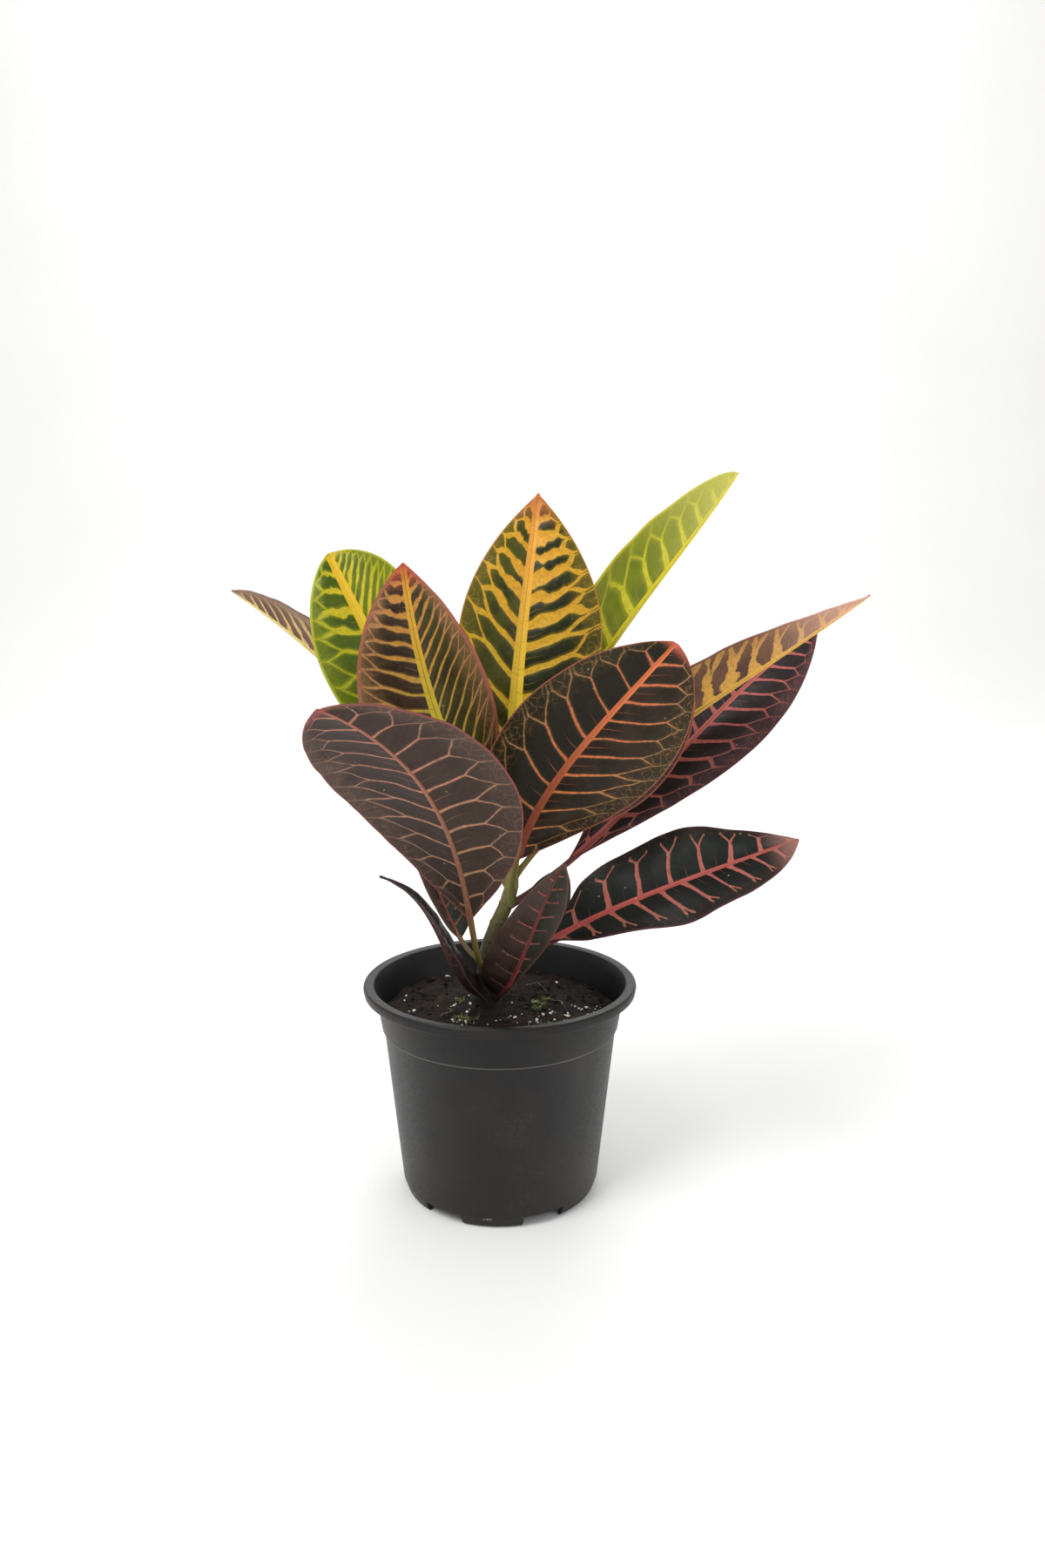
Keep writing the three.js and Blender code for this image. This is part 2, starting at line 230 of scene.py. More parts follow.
class Effect:
    """A shader node group with named inputs and outputs, built once and shared."""

    made: dict[str, bpy.types.NodeTree] = {}
    name = "effect"
    inputs: dict[str, str] = {}
    outputs: dict[str, str] = {}

    def wire(self, w: Wiring, given: Callable[[str], Socket]) -> dict[str, Socket]:
        """Builds the pattern; each effect has its own."""
        raise NotImplementedError

    def tree(self) -> bpy.types.NodeTree:
        """Makes the group on first use.

        Returns:
            The group's tree.
        """
        if self.name in Effect.made:
            return Effect.made[self.name]
        tree = bpy.data.node_groups.new(self.name, "ShaderNodeTree")
        for direction, sockets in (("INPUT", self.inputs), ("OUTPUT", self.outputs)):
            for name, kind in sockets.items():
                tree.interface.new_socket(name, in_out=direction, socket_type=kind)
        w = Wiring(tree)
        entry = w.node("NodeGroupInput")
        leave = w.node("NodeGroupOutput")
        for name, socket in self.wire(w, lambda key: entry.outputs[key]).items():
            w.feed(leave.inputs[name], socket)
        Effect.made[self.name] = tree
        return tree

    def put(self, w: Wiring, **values: object) -> bpy.types.NodeOutputs:
        """Places the effect in a material.

        Args:
            w: the material's wiring.
            values: the inputs, with spaces written as underscores.

        Returns:
            The placed group's outputs.
        """
        node = w.node("ShaderNodeGroup", node_tree=self.tree())
        for name, value in values.items():
            w.feed(node.inputs[name.replace("_", " ")], value)
        return node.outputs


class LeafPattern(Effect):
    """A croton leaf's colours: blade, forked veins, midrib, net, margin and tip.

    The map "vein" holds the count of veins along the leaf and the share of the half width. The
    map "size" holds the place across and along the blade, in units of 100 mm.
    """

    name = "croton_leaf_pattern"
    tints = (
        "Blade left", "Blade right", "Deep", "Vein base", "Vein tip", "Vein edge", "Halo", "Rib base",
        "Rib tip", "Margin", "Tip",
    )
    numbers = (
        "Fork", "Arch", "Link left", "Link right", "Width", "Flood left", "Flood right", "Pool",
        "Halo width", "Rib width", "Net", "Glow", "Margin width", "Tip start", "Rough", "Raised",
    )
    sizes = ("Length", "Spacing left", "Spacing right", "Seed")
    inputs = {**{n: TINT for n in tints}, **{n: FLOAT for n in (*numbers, *sizes)}}
    outputs = {"Color": TINT, "Roughness": FLOAT, "Height": FLOAT}

    def wire(self, w: Wiring, given: Callable[[str], Socket]) -> dict[str, Socket]:
        """Builds the leaf pattern.

        Args:
            w: the group's wiring.
            given: looks an input up by name.

        Returns:
            The outputs by name.
        """
        veins = w.split(w.node("ShaderNodeUVMap", uv_map="vein").outputs[0])
        flat = w.node("ShaderNodeUVMap", uv_map="size").outputs[0]
        size = w.split(flat)
        count, reach = veins[0], veins[1]
        across = w.times(w.math("ABSOLUTE", size[0]), 100.0)
        along = w.over(w.times(size[1], 100.0), given("Length"))
        right = w.math("GREATER_THAN", size[0], 0.0)
        spacing = w.number(right, given("Spacing left"), given("Spacing right"))
        link = w.number(right, given("Link left"), given("Link right"))
        flood = w.number(right, given("Flood left"), given("Flood right"))
        shift = w.join(given("Seed"), given("Seed"), 0.0)
        sheet = w.node("ShaderNodeVectorMath", {0: flat, 1: shift}, operation="ADD").outputs[0]

        cell = w.math("ROUND", count)
        off = w.math("ABSOLUTE", w.minus(count, cell))
        turn = w.math("SIGN", w.minus(count, cell))
        stretched = w.join(w.add(w.times(cell, 7.3), w.times(turn, 2.1)), w.times(reach, 3.6), given("Seed"))
        drift = w.grain(stretched, 1.0, 2.0)
        own = {"W": w.add(cell, given("Seed"))}
        chance = w.node("ShaderNodeTexWhiteNoise", own, noise_dimensions="1D")
        draws = w.split(chance.outputs["Color"])
        fine = w.grain(sheet, 55.0, 5.0)
        patch = w.grain(sheet, 9.0)
        fork = w.add(given("Fork"), w.times(w.minus(draws[0], 0.5), 0.14))
        arch = w.add(given("Arch"), w.times(w.minus(patch, 0.5), 0.25))
        spread = w.math("MULTIPLY", w.over(w.minus(reach, fork), w.minus(arch, fork)), 1.0, clamp=True)
        branch = w.times(spread, 0.5, link)
        distance = w.times(w.math("ABSOLUTE", w.minus(off, branch)), spacing, 0.8)
        past = w.rise(reach, arch, w.add(arch, 0.07))
        taper = w.minus(1.0, w.times(reach, 0.35))
        forked = w.minus(1.0, w.times(w.rise(spread, 0.0, 0.3), 0.3))
        weight = w.add(0.45, w.times(draws[1], 0.45), w.times(drift, 0.7))
        stroke = w.times(given("Width"), taper, forked, weight)
        flare = w.times(w.fall(across, 0.0, 4.0), given("Width"), 0.5)
        away = w.math("ABSOLUTE", w.add(along, w.times(given("Pool"), -1.0), w.times(patch, 0.3), -0.15))
        pool = w.add(0.3, w.times(w.fall(away, 0.04, 0.3), 1.8))
        ragged = w.add(w.times(w.minus(drift, 0.36), 6.5), w.times(w.minus(fine, 0.5), 1.6))
        near = w.add(0.75, w.times(w.fall(reach, 0.15, 0.65), 0.85))
        ragged = w.math("MAXIMUM", w.times(flood, pool, near, ragged), w.times(stroke, -0.35))
        ended = w.minus(1.0, w.times(past, w.add(0.55, w.times(w.minus(1.0, link), 0.9))))
        half = w.times(w.add(stroke, flare, ragged), 0.5, w.math("MAXIMUM", ended, 0.0))
        jitter = w.times(w.minus(fine, 0.5), 0.5)
        drawn = w.add(distance, jitter)
        vein = w.fall(drawn, w.minus(half, 0.14), w.add(half, 0.16))
        vein = w.times(vein, w.rise(half, 0.02, 0.12))
        halo = w.fall(drawn, half, w.add(half, given("Halo width")))
        halo = w.times(halo, w.rise(half, 0.02, 0.12))

        bent = w.join(
            w.add(size[0], w.times(fine, 0.03)), w.add(size[1], w.times(patch, 0.06)), given("Seed")
        )
        web = w.cells(bent, 27.0, "DISTANCE_TO_EDGE").outputs["Distance"]
        web = w.times(
            w.fall(web, 0.01, 0.07), w.rise(reach, 0.55, 0.9), w.rise(fine, 0.3, 0.6), given("Net")
        )
        stub = w.times(w.math("ABSOLUTE", w.minus(off, 0.5)), spacing)
        stub = w.times(
            w.fall(stub, 0.05, 0.35),
            w.fall(reach, 0.08, w.add(0.12, w.times(draws[2], 0.3))),
            w.rise(draws[2], 0.55, 0.7),
        )

        rib_half = w.times(given("Rib width"), 0.5, w.minus(1.0, w.times(along, 0.55)))
        rib = w.fall(w.add(across, w.times(jitter, 0.4)), w.minus(rib_half, 0.12), w.add(rib_half, 0.12))
        rim = w.over(w.times(across, w.minus(1.0, reach)), w.math("MAXIMUM", reach, 0.1))
        edge = w.fall(w.add(rim, jitter), w.times(given("Margin width"), 0.4), given("Margin width"))

        blade = w.blend(right, given("Blade left"), given("Blade right"))
        blade = w.blend(w.times(w.rise(patch, 0.35, 0.7), 0.75), blade, given("Deep"))
        blade = w.blend(w.times(w.rise(fine, 0.45, 0.8), 0.18), blade, given("Halo"))
        outer = w.rise(w.add(reach, w.times(w.minus(patch, 0.5), 0.8)), 0.5, 1.0)
        outer = w.times(outer, given("Glow"), w.add(0.55, w.times(w.rise(along, 0.2, 0.9), 0.9)))
        blade = w.blend(outer, blade, given("Halo"))
        blade = w.blend(w.times(halo, 0.75), blade, given("Halo"))
        blade = w.blend(w.times(web, 0.6), blade, given("Vein edge"))
        line = w.blend(w.rise(along, 0.1, 0.85), given("Vein base"), given("Vein tip"))
        line = w.blend(w.rise(reach, 0.3, 0.9), line, given("Vein edge"))
        line = w.blend(w.times(w.rise(fine, 0.35, 0.75), 0.3), line, given("Deep"))
        tone = w.blend(w.times(w.math("MAXIMUM", vein, w.times(stub, 0.5)), 0.94), blade, line)
        cord = w.blend(w.rise(along, 0.05, 0.95), given("Rib base"), given("Rib tip"))
        # Painted shade: the midrib's middle line is darkened towards Deep.
        midrib_shade = w.times(w.fall(across, 0.05, 0.45), 0.25)
        cord = w.blend(midrib_shade, cord, given("Deep"))
        tone = w.blend(rib, tone, cord)
        tone = w.blend(w.times(edge, 0.85), tone, given("Margin"))
        # The tip tint is the tip's own colour on most leaves; on leaf_right_high's lower face it is a
        # painted sheen.
        tip_tint_and_sheen = w.times(w.rise(along, given("Tip start"), 1.0), w.add(0.55, w.times(fine, 0.5)))
        tone = w.blend(tip_tint_and_sheen, tone, given("Tip"))
        dots = w.cells(sheet, 16.0)
        chosen = w.rise(w.split(dots.outputs["Color"])[0], 0.55, 0.65)
        fleck = w.times(w.fall(dots.outputs["Distance"], 0.03, 0.09), chosen)
        tone = w.blend(w.times(fleck, 0.45), tone, colour("c9c79a"))

        rounded = w.minus(1.0, w.math("POWER", w.over(across, rib_half), 2.0))
        crown = w.math("MULTIPLY", rounded, rib, clamp=True)
        relief = w.add(w.times(vein, 0.5), w.times(crown, 1.0), w.times(web, 0.12))
        leather = w.cells(sheet, 95.0).outputs["Distance"]
        height = w.add(w.times(relief, given("Raised")), w.times(fine, 0.3), w.times(leather, 0.12))
        rough = w.add(given("Rough"), w.times(w.minus(fine, 0.5), 0.22), w.times(vein, 0.05))
        return {"Color": tone, "Roughness": rough, "Height": height}


class Weather(Effect):
    """Slow and fine variation over a surface, with pale dust where it looks up."""

    name = "weathered_surface"
    inputs = {
        "Base": TINT,
        "Light": TINT,
        "Dust": TINT,
        "Coarse": FLOAT,
        "Fine": FLOAT,
        "Dusting": FLOAT,
        "Rough": FLOAT,
    }
    outputs = {"Color": TINT, "Roughness": FLOAT, "Height": FLOAT}

    def wire(self, w: Wiring, given: Callable[[str], Socket]) -> dict[str, Socket]:
        """Builds the variation.

        Args:
            w: the group's wiring.
            given: looks an input up by name.

        Returns:
            The outputs by name.
        """
        place = w.place()
        slow = w.grain(place, given("Coarse"), 4.0)
        quick = w.grain(place, given("Fine"), 5.0)
        tone = w.blend(w.rise(slow, 0.3, 0.75), given("Base"), given("Light"))
        level = w.rise(w.split(w.node("ShaderNodeNewGeometry").outputs["Normal"])[2], 0.1, 0.9)
        dust = w.times(given("Dusting"), w.rise(w.times(slow, quick), 0.22, 0.45), w.add(0.35, level))
        tone = w.blend(dust, tone, given("Dust"))
        rough = w.add(given("Rough"), w.times(w.minus(quick, 0.5), 0.25), w.times(dust, 0.2))
        return {"Color": tone, "Roughness": rough, "Height": w.add(w.times(slow, 0.4), quick)}


class PottedPlastic(Effect):
    """Dull black plastic: a pale painted highlight line round it, faint draws down the side, a scuff and
    dust, and painted shade inside.
    """

    name = "potted_plastic"
    scuff_middle = (-0.0062, 0.0048)  # metres, to the side and up
    scuff_half = (0.0024, 0.0008)
    inputs = {
        "Base": TINT,
        "Warm": TINT,
        "Worn": TINT,
        "Line height": FLOAT,
        "Line width": FLOAT,
        "Rough": FLOAT,
    }
    outputs = {"Color": TINT, "Roughness": FLOAT, "Height": FLOAT}

    def wire(self, w: Wiring, given: Callable[[str], Socket]) -> dict[str, Socket]:
        """Builds the plastic.

        Args:
            w: the group's wiring.
            given: looks an input up by name.

        Returns:
            The outputs by name.
        """
        place = w.place()
        x, y, z = w.split(place)
        draws = w.grain(w.join(w.times(x, 90.0), w.times(y, 90.0), w.times(z, 7.0)), 1.0, 4.0)
        clouds = w.grain(place, 30.0, 4.0)
        grit = w.grain(place, 700.0, 3.0)
        tone = w.blend(w.rise(clouds, 0.35, 0.7), given("Base"), given("Warm"))
        tone = w.blend(w.times(w.rise(draws, 0.5, 0.75), 0.35), tone, given("Warm"))
        tone = w.blend(w.times(w.fall(z, 0.002, 0.05), 0.7), tone, given("Warm"))
        # Painted highlight: a pale line round the pot at Line height, along the collar's lower edge.
        away = w.math("ABSOLUTE", w.minus(z, given("Line height")))
        line = w.fall(away, w.times(given("Line width"), 0.3), given("Line width"))
        line = w.times(line, w.add(0.05, w.times(clouds, 0.6)))
        aside = w.over(w.math("ABSOLUTE", w.minus(x, self.scuff_middle[0])), self.scuff_half[0])
        above = w.over(w.math("ABSOLUTE", w.minus(z, self.scuff_middle[1])), self.scuff_half[1])
        scuff = w.fall(w.math("MAXIMUM", aside, above), 0.5, 1.1)
        mark = w.times(scuff, w.math("LESS_THAN", y, 0.0), w.rise(grit, 0.3, 0.6), 0.8)
        dust = w.times(w.rise(w.times(clouds, grit), 0.26, 0.5), 0.05)
        # The pale colour paints the highlight line as well as the real scuff and dust.
        tone = w.blend(w.math("MAXIMUM", w.math("MAXIMUM", line, mark), dust), tone, given("Worn"))
        # Painted shade: the inward-facing wall above the soil is darkened to near black.
        facing = w.split(w.node("ShaderNodeNewGeometry").outputs["Normal"])
        outward = w.add(w.times(x, facing[0]), w.times(y, facing[1]))
        inside = w.times(w.fall(outward, -0.03, -0.005), w.rise(z, 0.07, 0.09))
        tone = w.blend(w.times(inside, 0.85), tone, colour("040405"))
        rough = w.add(given("Rough"), w.times(w.minus(grit, 0.5), 0.3), w.times(draws, 0.08))
        height = w.add(w.times(draws, 0.8), w.times(grit, 0.35))
        return {"Color": tone, "Roughness": rough, "Height": height}


# Finishes


class Finish:
    """A surface finish that makes one Principled material."""

    bump: float = 0.3
    depth: float = 0.0002  # of the relief, in metres
    specular: float = 0.3

    def dress(self, w: Wiring) -> dict[str, Socket]:
        """Wires the finish's own pattern, which gives Color, Roughness and Height."""
        raise NotImplementedError

    def even(self) -> dict[str, float]:
        """The values that are the same all over, by socket name."""
        return {"Specular IOR Level": self.specular}

    def material(self, name: str) -> bpy.types.Material:
        """Makes the material.

        Args:
            name: the material's name.

        Returns:
            The material.
        """
        made = bpy.data.materials.new(name)
        made.use_nodes = True
        w = Wiring(made.node_tree)
        shader = made.node_tree.nodes["Principled BSDF"]
        out = self.dress(w)
        relief = {"Strength": self.bump, "Distance": self.depth, "Height": out["Height"]}
        normal = w.node("ShaderNodeBump", relief).outputs[0]
        given = {"Base Color": out["Color"], "Roughness": out["Roughness"], "Normal": normal}
        for socket, source in {**given, **self.even()}.items():
            w.feed(shader.inputs[socket], source)
        return made


@dataclass(frozen=True)
class LeafFinish:
    """The colours and vein pattern of one side of a leaf; colours are hexadecimal."""

    blade_left: str
    blade_right: str
    deep: str
    vein_base: str
    vein_tip: str
    vein_edge: str
    halo: str
    rib_base: str
    rib_tip: str
    margin: str
    tip: str
    fork: float = 0.58
    arch: float = 0.8
    link_left: float = 1.0
    link_right: float = 1.0
    width: float = 1.1
    flood_left: float = 0.0
    flood_right: float = 0.0
    pool: float = 0.5
    halo_width: float = 0.8
    rib_width: float = 3.2
    net: float = 0.5
    glow: float = 0.3
    margin_width: float = 0.9
    tip_start: float = 0.96
    rough: float = 0.4
    raised: float = -0.6
    coat: float = 0.06
    specular: float = 0.22

    def value(self, name: str) -> float | str:
        """The value for one of the pattern's inputs."""
        return getattr(self, name.lower().replace(" ", "_"))


@dataclass(frozen=True)
class LeafSide(Finish):
    """One side of one leaf: its look, how its veins run, and the blade's length in millimetres."""

    look: LeafFinish
    veins: "Veins"
    length: float
    seed: float
    bump = 0.8
    depth = 0.0006
    coat_roughness = 0.22

    def even(self) -> dict[str, float]:
        """The gloss, which is the same all over, by socket name."""
        look = self.look
        return {
            "Specular IOR Level": look.specular,
            "Coat Weight": look.coat,
            "Coat Roughness": self.coat_roughness,
        }

    def dress(self, w: Wiring) -> dict[str, Socket]:
        """Places the leaf pattern with this side's values.

        Args:
            w: the material's wiring.

        Returns:
            The pattern's outputs.
        """
        given = {n: self.look.value(n) for n in LeafPattern.numbers}
        given |= {n: colour(self.look.value(n)) for n in LeafPattern.tints}
        sizes = dict(zip(LeafPattern.sizes, (self.length, *self.veins.spacing, self.seed)))
        return LeafPattern().put(w, **given, **sizes)


@dataclass(frozen=True)
class StalkFinish(Finish):
    """Bark or skin that changes colour along its piece, by the piece's own attribute "along"."""

    foot: str
    middle: str
    end: str
    depth = 0.0003

    def dress(self, w: Wiring) -> dict[str, Socket]:
        """Runs the colours along the piece, over fine streaks.

        Args:
            w: the material's wiring.

        Returns:
            Color, Roughness and Height.
        """
        along = w.node("ShaderNodeAttribute", attribute_name="along").outputs["Fac"]
        fine = w.grain(w.place(), 900.0)
        tone = w.blend(w.rise(along, 0.02, 0.3), colour(self.foot), colour(self.middle))
        tone = w.blend(w.rise(along, 0.35, 0.95), tone, colour(self.end))
        tone = w.blend(w.times(w.rise(fine, 0.4, 0.75), 0.35), tone, colour(self.foot))
        rough = w.add(0.42, w.times(fine, 0.15))
        return {"Color": tone, "Roughness": rough, "Height": fine}


@dataclass(frozen=True)
class PotFinish(Finish):
    """The pot's plastic; the painted highlight line's height and width in millimetres."""

    base: str
    warm: str
    worn: str
    line_height: float
    line_width: float
    rough: float

    def dress(self, w: Wiring) -> dict[str, Socket]:
        """Places the plastic's pattern with this finish's values.

        Args:
            w: the material's wiring.

        Returns:
            The pattern's outputs.
        """
        return PottedPlastic().put(
            w,
            Base=colour(self.base),
            Warm=colour(self.warm),
            Worn=colour(self.worn),
            Line_height=self.line_height * MM,
            Line_width=self.line_width * MM,
            Rough=self.rough,
        )


@dataclass(frozen=True)
class PlainFinish(Finish):
    """A finish of two tones with dust, for soil, grains, moss, roots and the floor."""

    base: str
    light: str
    dust: str
    coarse: float
    fine: float
    dusting: float
    rough: float
    bump: float
    depth: float
    specular: float = 0.5

    def dress(self, w: Wiring) -> dict[str, Socket]:
        """Places the shared weathering with this finish's values.

        Args:
            w: the material's wiring.

        Returns:
            The pattern's outputs.
        """
        return Weather().put(
            w,
            Base=colour(self.base),
            Light=colour(self.light),
            Dust=colour(self.dust),
            Coarse=self.coarse,
            Fine=self.fine,
            Dusting=self.dusting,
            Rough=self.rough,
        )


# Its pale line at 80.7 mm is a painted highlight on the collar's lower edge; the pale colour also paints a
# scuff and dust.
POT_PLASTIC = PotFinish(
    base="110f0f", warm="1d1917", worn="8b8986", line_height=80.7, line_width=0.7, rough=0.4
)
# The stem darkens towards its foot as painted shade.
SHADED_BARK = StalkFinish(foot="26241a", middle="302d1f", end="8b8148")
PEAT = PlainFinish(
    base="130e0c", light="271d17", dust="3a2e25", coarse=90.0, fine=700.0, dusting=0.35, rough=0.92,
    bump=1.0, depth=0.0012, specular=0.25,
)
CRUMB = PlainFinish(
    base="18110e", light="33261d", dust="463830", coarse=160.0, fine=900.0, dusting=0.3, rough=0.95,
    bump=0.9, depth=0.0008, specular=0.2,
)
PERLITE = PlainFinish(
    base="d9d5cb", light="f2efe8", dust="b3a894", coarse=260.0, fine=1500.0, dusting=0.4, rough=0.85,
    bump=0.8, depth=0.0004,
)
MOSS = PlainFinish(
    base="3f4a28", light="78864f", dust="a3a47c", coarse=300.0, fine=1200.0, dusting=0.25, rough=0.75,
    bump=0.5, depth=0.0004, specular=0.3,
)
ROOT = PlainFinish(
    base="5a4d3a", light="7a6b53", dust="8f8067", coarse=200.0, fine=900.0, dusting=0.2, rough=0.75,
    bump=0.4, depth=0.0002,
)
FLOOR = PlainFinish(
    base="f4f4f3", light="f7f7f6", dust="f2f2f1", coarse=2.0, fine=60.0, dusting=0.1, rough=0.9,
    bump=0.02, depth=0.0002, specular=0.1,
)


# Leaves


class Half(Enum):
    """The two halves of a blade; the value is the sign of a distance across from the midrib."""

    LEFT = -1
    RIGHT = 1

    def of(self, pair: tuple[float, float]) -> float:
        """This half's value from a left and a right one."""
        return pair[1 if self is Half.RIGHT else 0]


@dataclass(frozen=True)
class Veins:
    """How the side veins run; millimetres, in pairs for the left and the right half."""

    spacing: tuple[float, float]
    slant: tuple[float, float]
    bow: float = 0.006
    tighten: float = 0.25
    wander: float = 1.1
    quilt: float = 0.35
    start: tuple[float, float] = (0.0, 0.35)

    def count(self, half: Half, across: float, along: float, length: float) -> float:
        """The count of veins passed at a place; it is whole on a vein.

        Args:
            half: the half of the blade.
            across: distance from the midrib.
            along: distance from the blade's base.
            length: the blade's length.

        Returns:
            The count.
        """
        origin = along - half.of(self.slant) * across - self.bow * across * across
        eased = origin * (1 + self.tighten * (origin / length - 0.5))
        return eased / half.of(self.spacing) + half.of(self.start)


@dataclass(frozen=True)
class LeafShape:
    """A leaf's midrib and blade, as the part's own source has them; millimetres.

    The midrib runs from root to tip, by way of two handles. The stalk's share of it is petiole.
    """

    root: Point
    rise: Point
    reach: Point
    tip: Point
    face: Point
    petiole: float
    width: float
    base: float
    point: float
    fold: float
    lean: float = 0.0
    bend: float | None = None
    skew: float = 0.0
    wave: float = 0.0
    waves: float = 3.0
    steps: int = 240
    samples: list[tuple[float, Vector, Vector]] = field(default_factory=list, compare=False)

    def trace(self) -> None:
        """Samples the midrib, with the length run so far at each sample."""
        handles = [Vector(p) for p in (self.root, self.rise, self.reach, self.tip)]
        run = 0.0
        before = handles[0]
        for i in range(self.steps + 1):
            t = i / self.steps
            s = 1 - t
            place = handles[0] * s**3 + handles[1] * 3 * s * s * t
            place += handles[2] * 3 * s * t * t + handles[3] * t**3
            ahead = (handles[1] - handles[0]) * s * s + (handles[2] - handles[1]) * 2 * s * t
            ahead += (handles[3] - handles[2]) * t * t
            run += (place - before).length
            before = place
            self.samples.append((run, place, ahead.normalized()))

    @property
    def length(self) -> float:
        """The midrib's whole length.

        Returns:
            The length of stalk and blade.
        """
        if not self.samples:
            self.trace()
        return self.samples[-1][0]

    @property
    def blade_length(self) -> float:
        """The blade's length along the midrib."""
        return self.length * (1 - self.petiole)

    def axes(self, share: float) -> tuple[Vector, Vector, Vector, Vector]:
        """The midrib's place and directions.

        Args:
            share: share of its length.

        Returns:
            The place, and the directions forward, right and up.
        """
        goal = share * self.length
        low, high = 0, len(self.samples) - 1
        while high - low > 1:
            middle = (low + high) // 2
            if self.samples[middle][0] <= goal:
                low = middle
            else:
                high = middle
        run, place, ahead = self.samples[low]
        far, next_place, next_ahead = self.samples[high]
        mix = 0.0 if far <= run else min(1.0, (goal - run) / (far - run))
        forward = ahead.lerp(next_ahead, mix).normalized()
        face = Vector(self.face)
        up = (face - forward * face.dot(forward)).normalized()
        return place.lerp(next_place, mix), forward, forward.cross(up), up

    def half_width(self, half: Half, share: float) -> float:
        """The width of one half of the blade.

        Args:
            half: the half of the blade.
            share: share of the blade's length.

        Returns:
            The distance from the midrib to the margin.
        """
        side = half.value
        base = self.base * (1 - side * self.lean)
        point = self.point * (1 + side * (self.lean if self.bend is None else self.bend))
        widest = base / (base + point)
        belly = (share / widest) ** base * ((1 - share) / (1 - widest)) ** point
        return max(0.5, self.width / 2 * (1 + side * self.skew) * belly)

    def spot(self, half: Half, reach: float, share: float) -> tuple[Vector, float, Vector]:
        """A place on the blade's middle surface.

        Args:
            half: the half of the blade.
            reach: share of the half width, 0 at the midrib and 1 at the margin.
            share: share of the blade's length.

        Returns:
            The place, its distance across in millimetres, and the direction that the blade faces.
        """
        side = half.value
        place, _, right, up = self.axes(self.petiole + (1 - self.petiole) * share)
        across = reach * self.half_width(half, share)
        fold = math.radians(self.fold)
        ripple = self.wave * reach * reach
        ripple *= math.sin(2 * math.pi * (self.waves * share + 0.37 * side))
        ripple *= min(1.0, 6 * share * (1 - share))
        camber = 0.05 * math.sin(math.pi * reach) * self.half_width(half, share)
        spot = place + right * side * across * math.cos(fold)
        spot += up * (across * math.sin(fold) + ripple + camber)
        outward = (up * math.cos(fold) - right * side * math.sin(fold)).normalized()
        return spot, across, outward


def in_scene(name: str, data: bpy.types.ID) -> bpy.types.Object:
    """Puts an object in the scene.

    Args:
        name: its name.
        data: its mesh, lamp or lens.

    Returns:
        The object, at the origin.
    """
    made = bpy.data.objects.new(name, data)
    bpy.context.scene.collection.objects.link(made)
    return made


def mesh_object(name: str, bm: bmesh.types.BMesh, *materials: bpy.types.Material) -> bpy.types.Object:
    """Turns a bmesh into an object at the origin.

    Args:
        name: the object's name.
        bm: its mesh in metres, which is freed.
        materials: its material slots in order.

    Returns:
        The object.
    """
    mesh = bpy.data.meshes.new(name)
    bm.to_mesh(mesh)
    bm.free()
    for material in materials:
        mesh.materials.append(material)
    return in_scene(name, mesh)


def new_piece(name: str, bm: bmesh.types.BMesh, *materials: bpy.types.Material) -> bpy.types.Object:
    """Makes a piece that rides on the part's one body.

    Args:
        name: the piece's name.
        bm: its mesh in metres, which is freed.
        materials: its material slots in order.

    Returns:
        The piece.
    """
    piece = mesh_object(name, bm, *materials)
    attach(piece, "root")
    return piece


def apply_modifiers(piece: bpy.types.Object, limit: float) -> None:
    """Makes a piece's modifiers part of its mesh.

    Args:
        piece: the piece.
        limit: edges over this angle in degrees stay sharp.
    """
    solid = bpy.data.meshes.new_from_object(piece.evaluated_get(bpy.context.evaluated_depsgraph_get()))
    piece.modifiers.clear()
    bm = bmesh.new()
    bm.from_mesh(solid)
    soften(bm, limit)
    bm.to_mesh(piece.data)
    bm.free()
    bpy.data.meshes.remove(solid)


def turned(section: Sequence[tuple[float, float]], segments: int) -> bmesh.types.BMesh:
    """Spins a section about the upright axis.

    Args:
        section: radii and heights in millimetres, from the axis round to the axis.
        segments: steps in a full turn.

    Returns:
        The turned shape in metres, with its seam and poles closed.
    """
    bm = bmesh.new()
    points = [bm.verts.new((r * MM, 0, z * MM)) for r, z in section]
    edges = [bm.edges.new(pair) for pair in zip(points, points[1:])]
    turn = {"axis": (0, 0, 1), "cent": (0, 0, 0), "angle": 2 * math.pi, "steps": segments}
    bmesh.ops.spin(bm, geom=points + edges, use_merge=True, **turn)
    bmesh.ops.remove_doubles(bm, verts=bm.verts, dist=1e-6)
    return bm


def soften(bm: bmesh.types.BMesh, limit: float = 50.0) -> None:
    """Shades the faces smooth.

    Args:
        bm: the mesh.
        limit: edges over this angle in degrees stay sharp.
    """
    for face in bm.faces:
        face.smooth = True
    for edge in bm.edges:
        if len(edge.link_faces) == 2 and edge.calc_face_angle(0.0) > math.radians(limit):
            edge.smooth = False


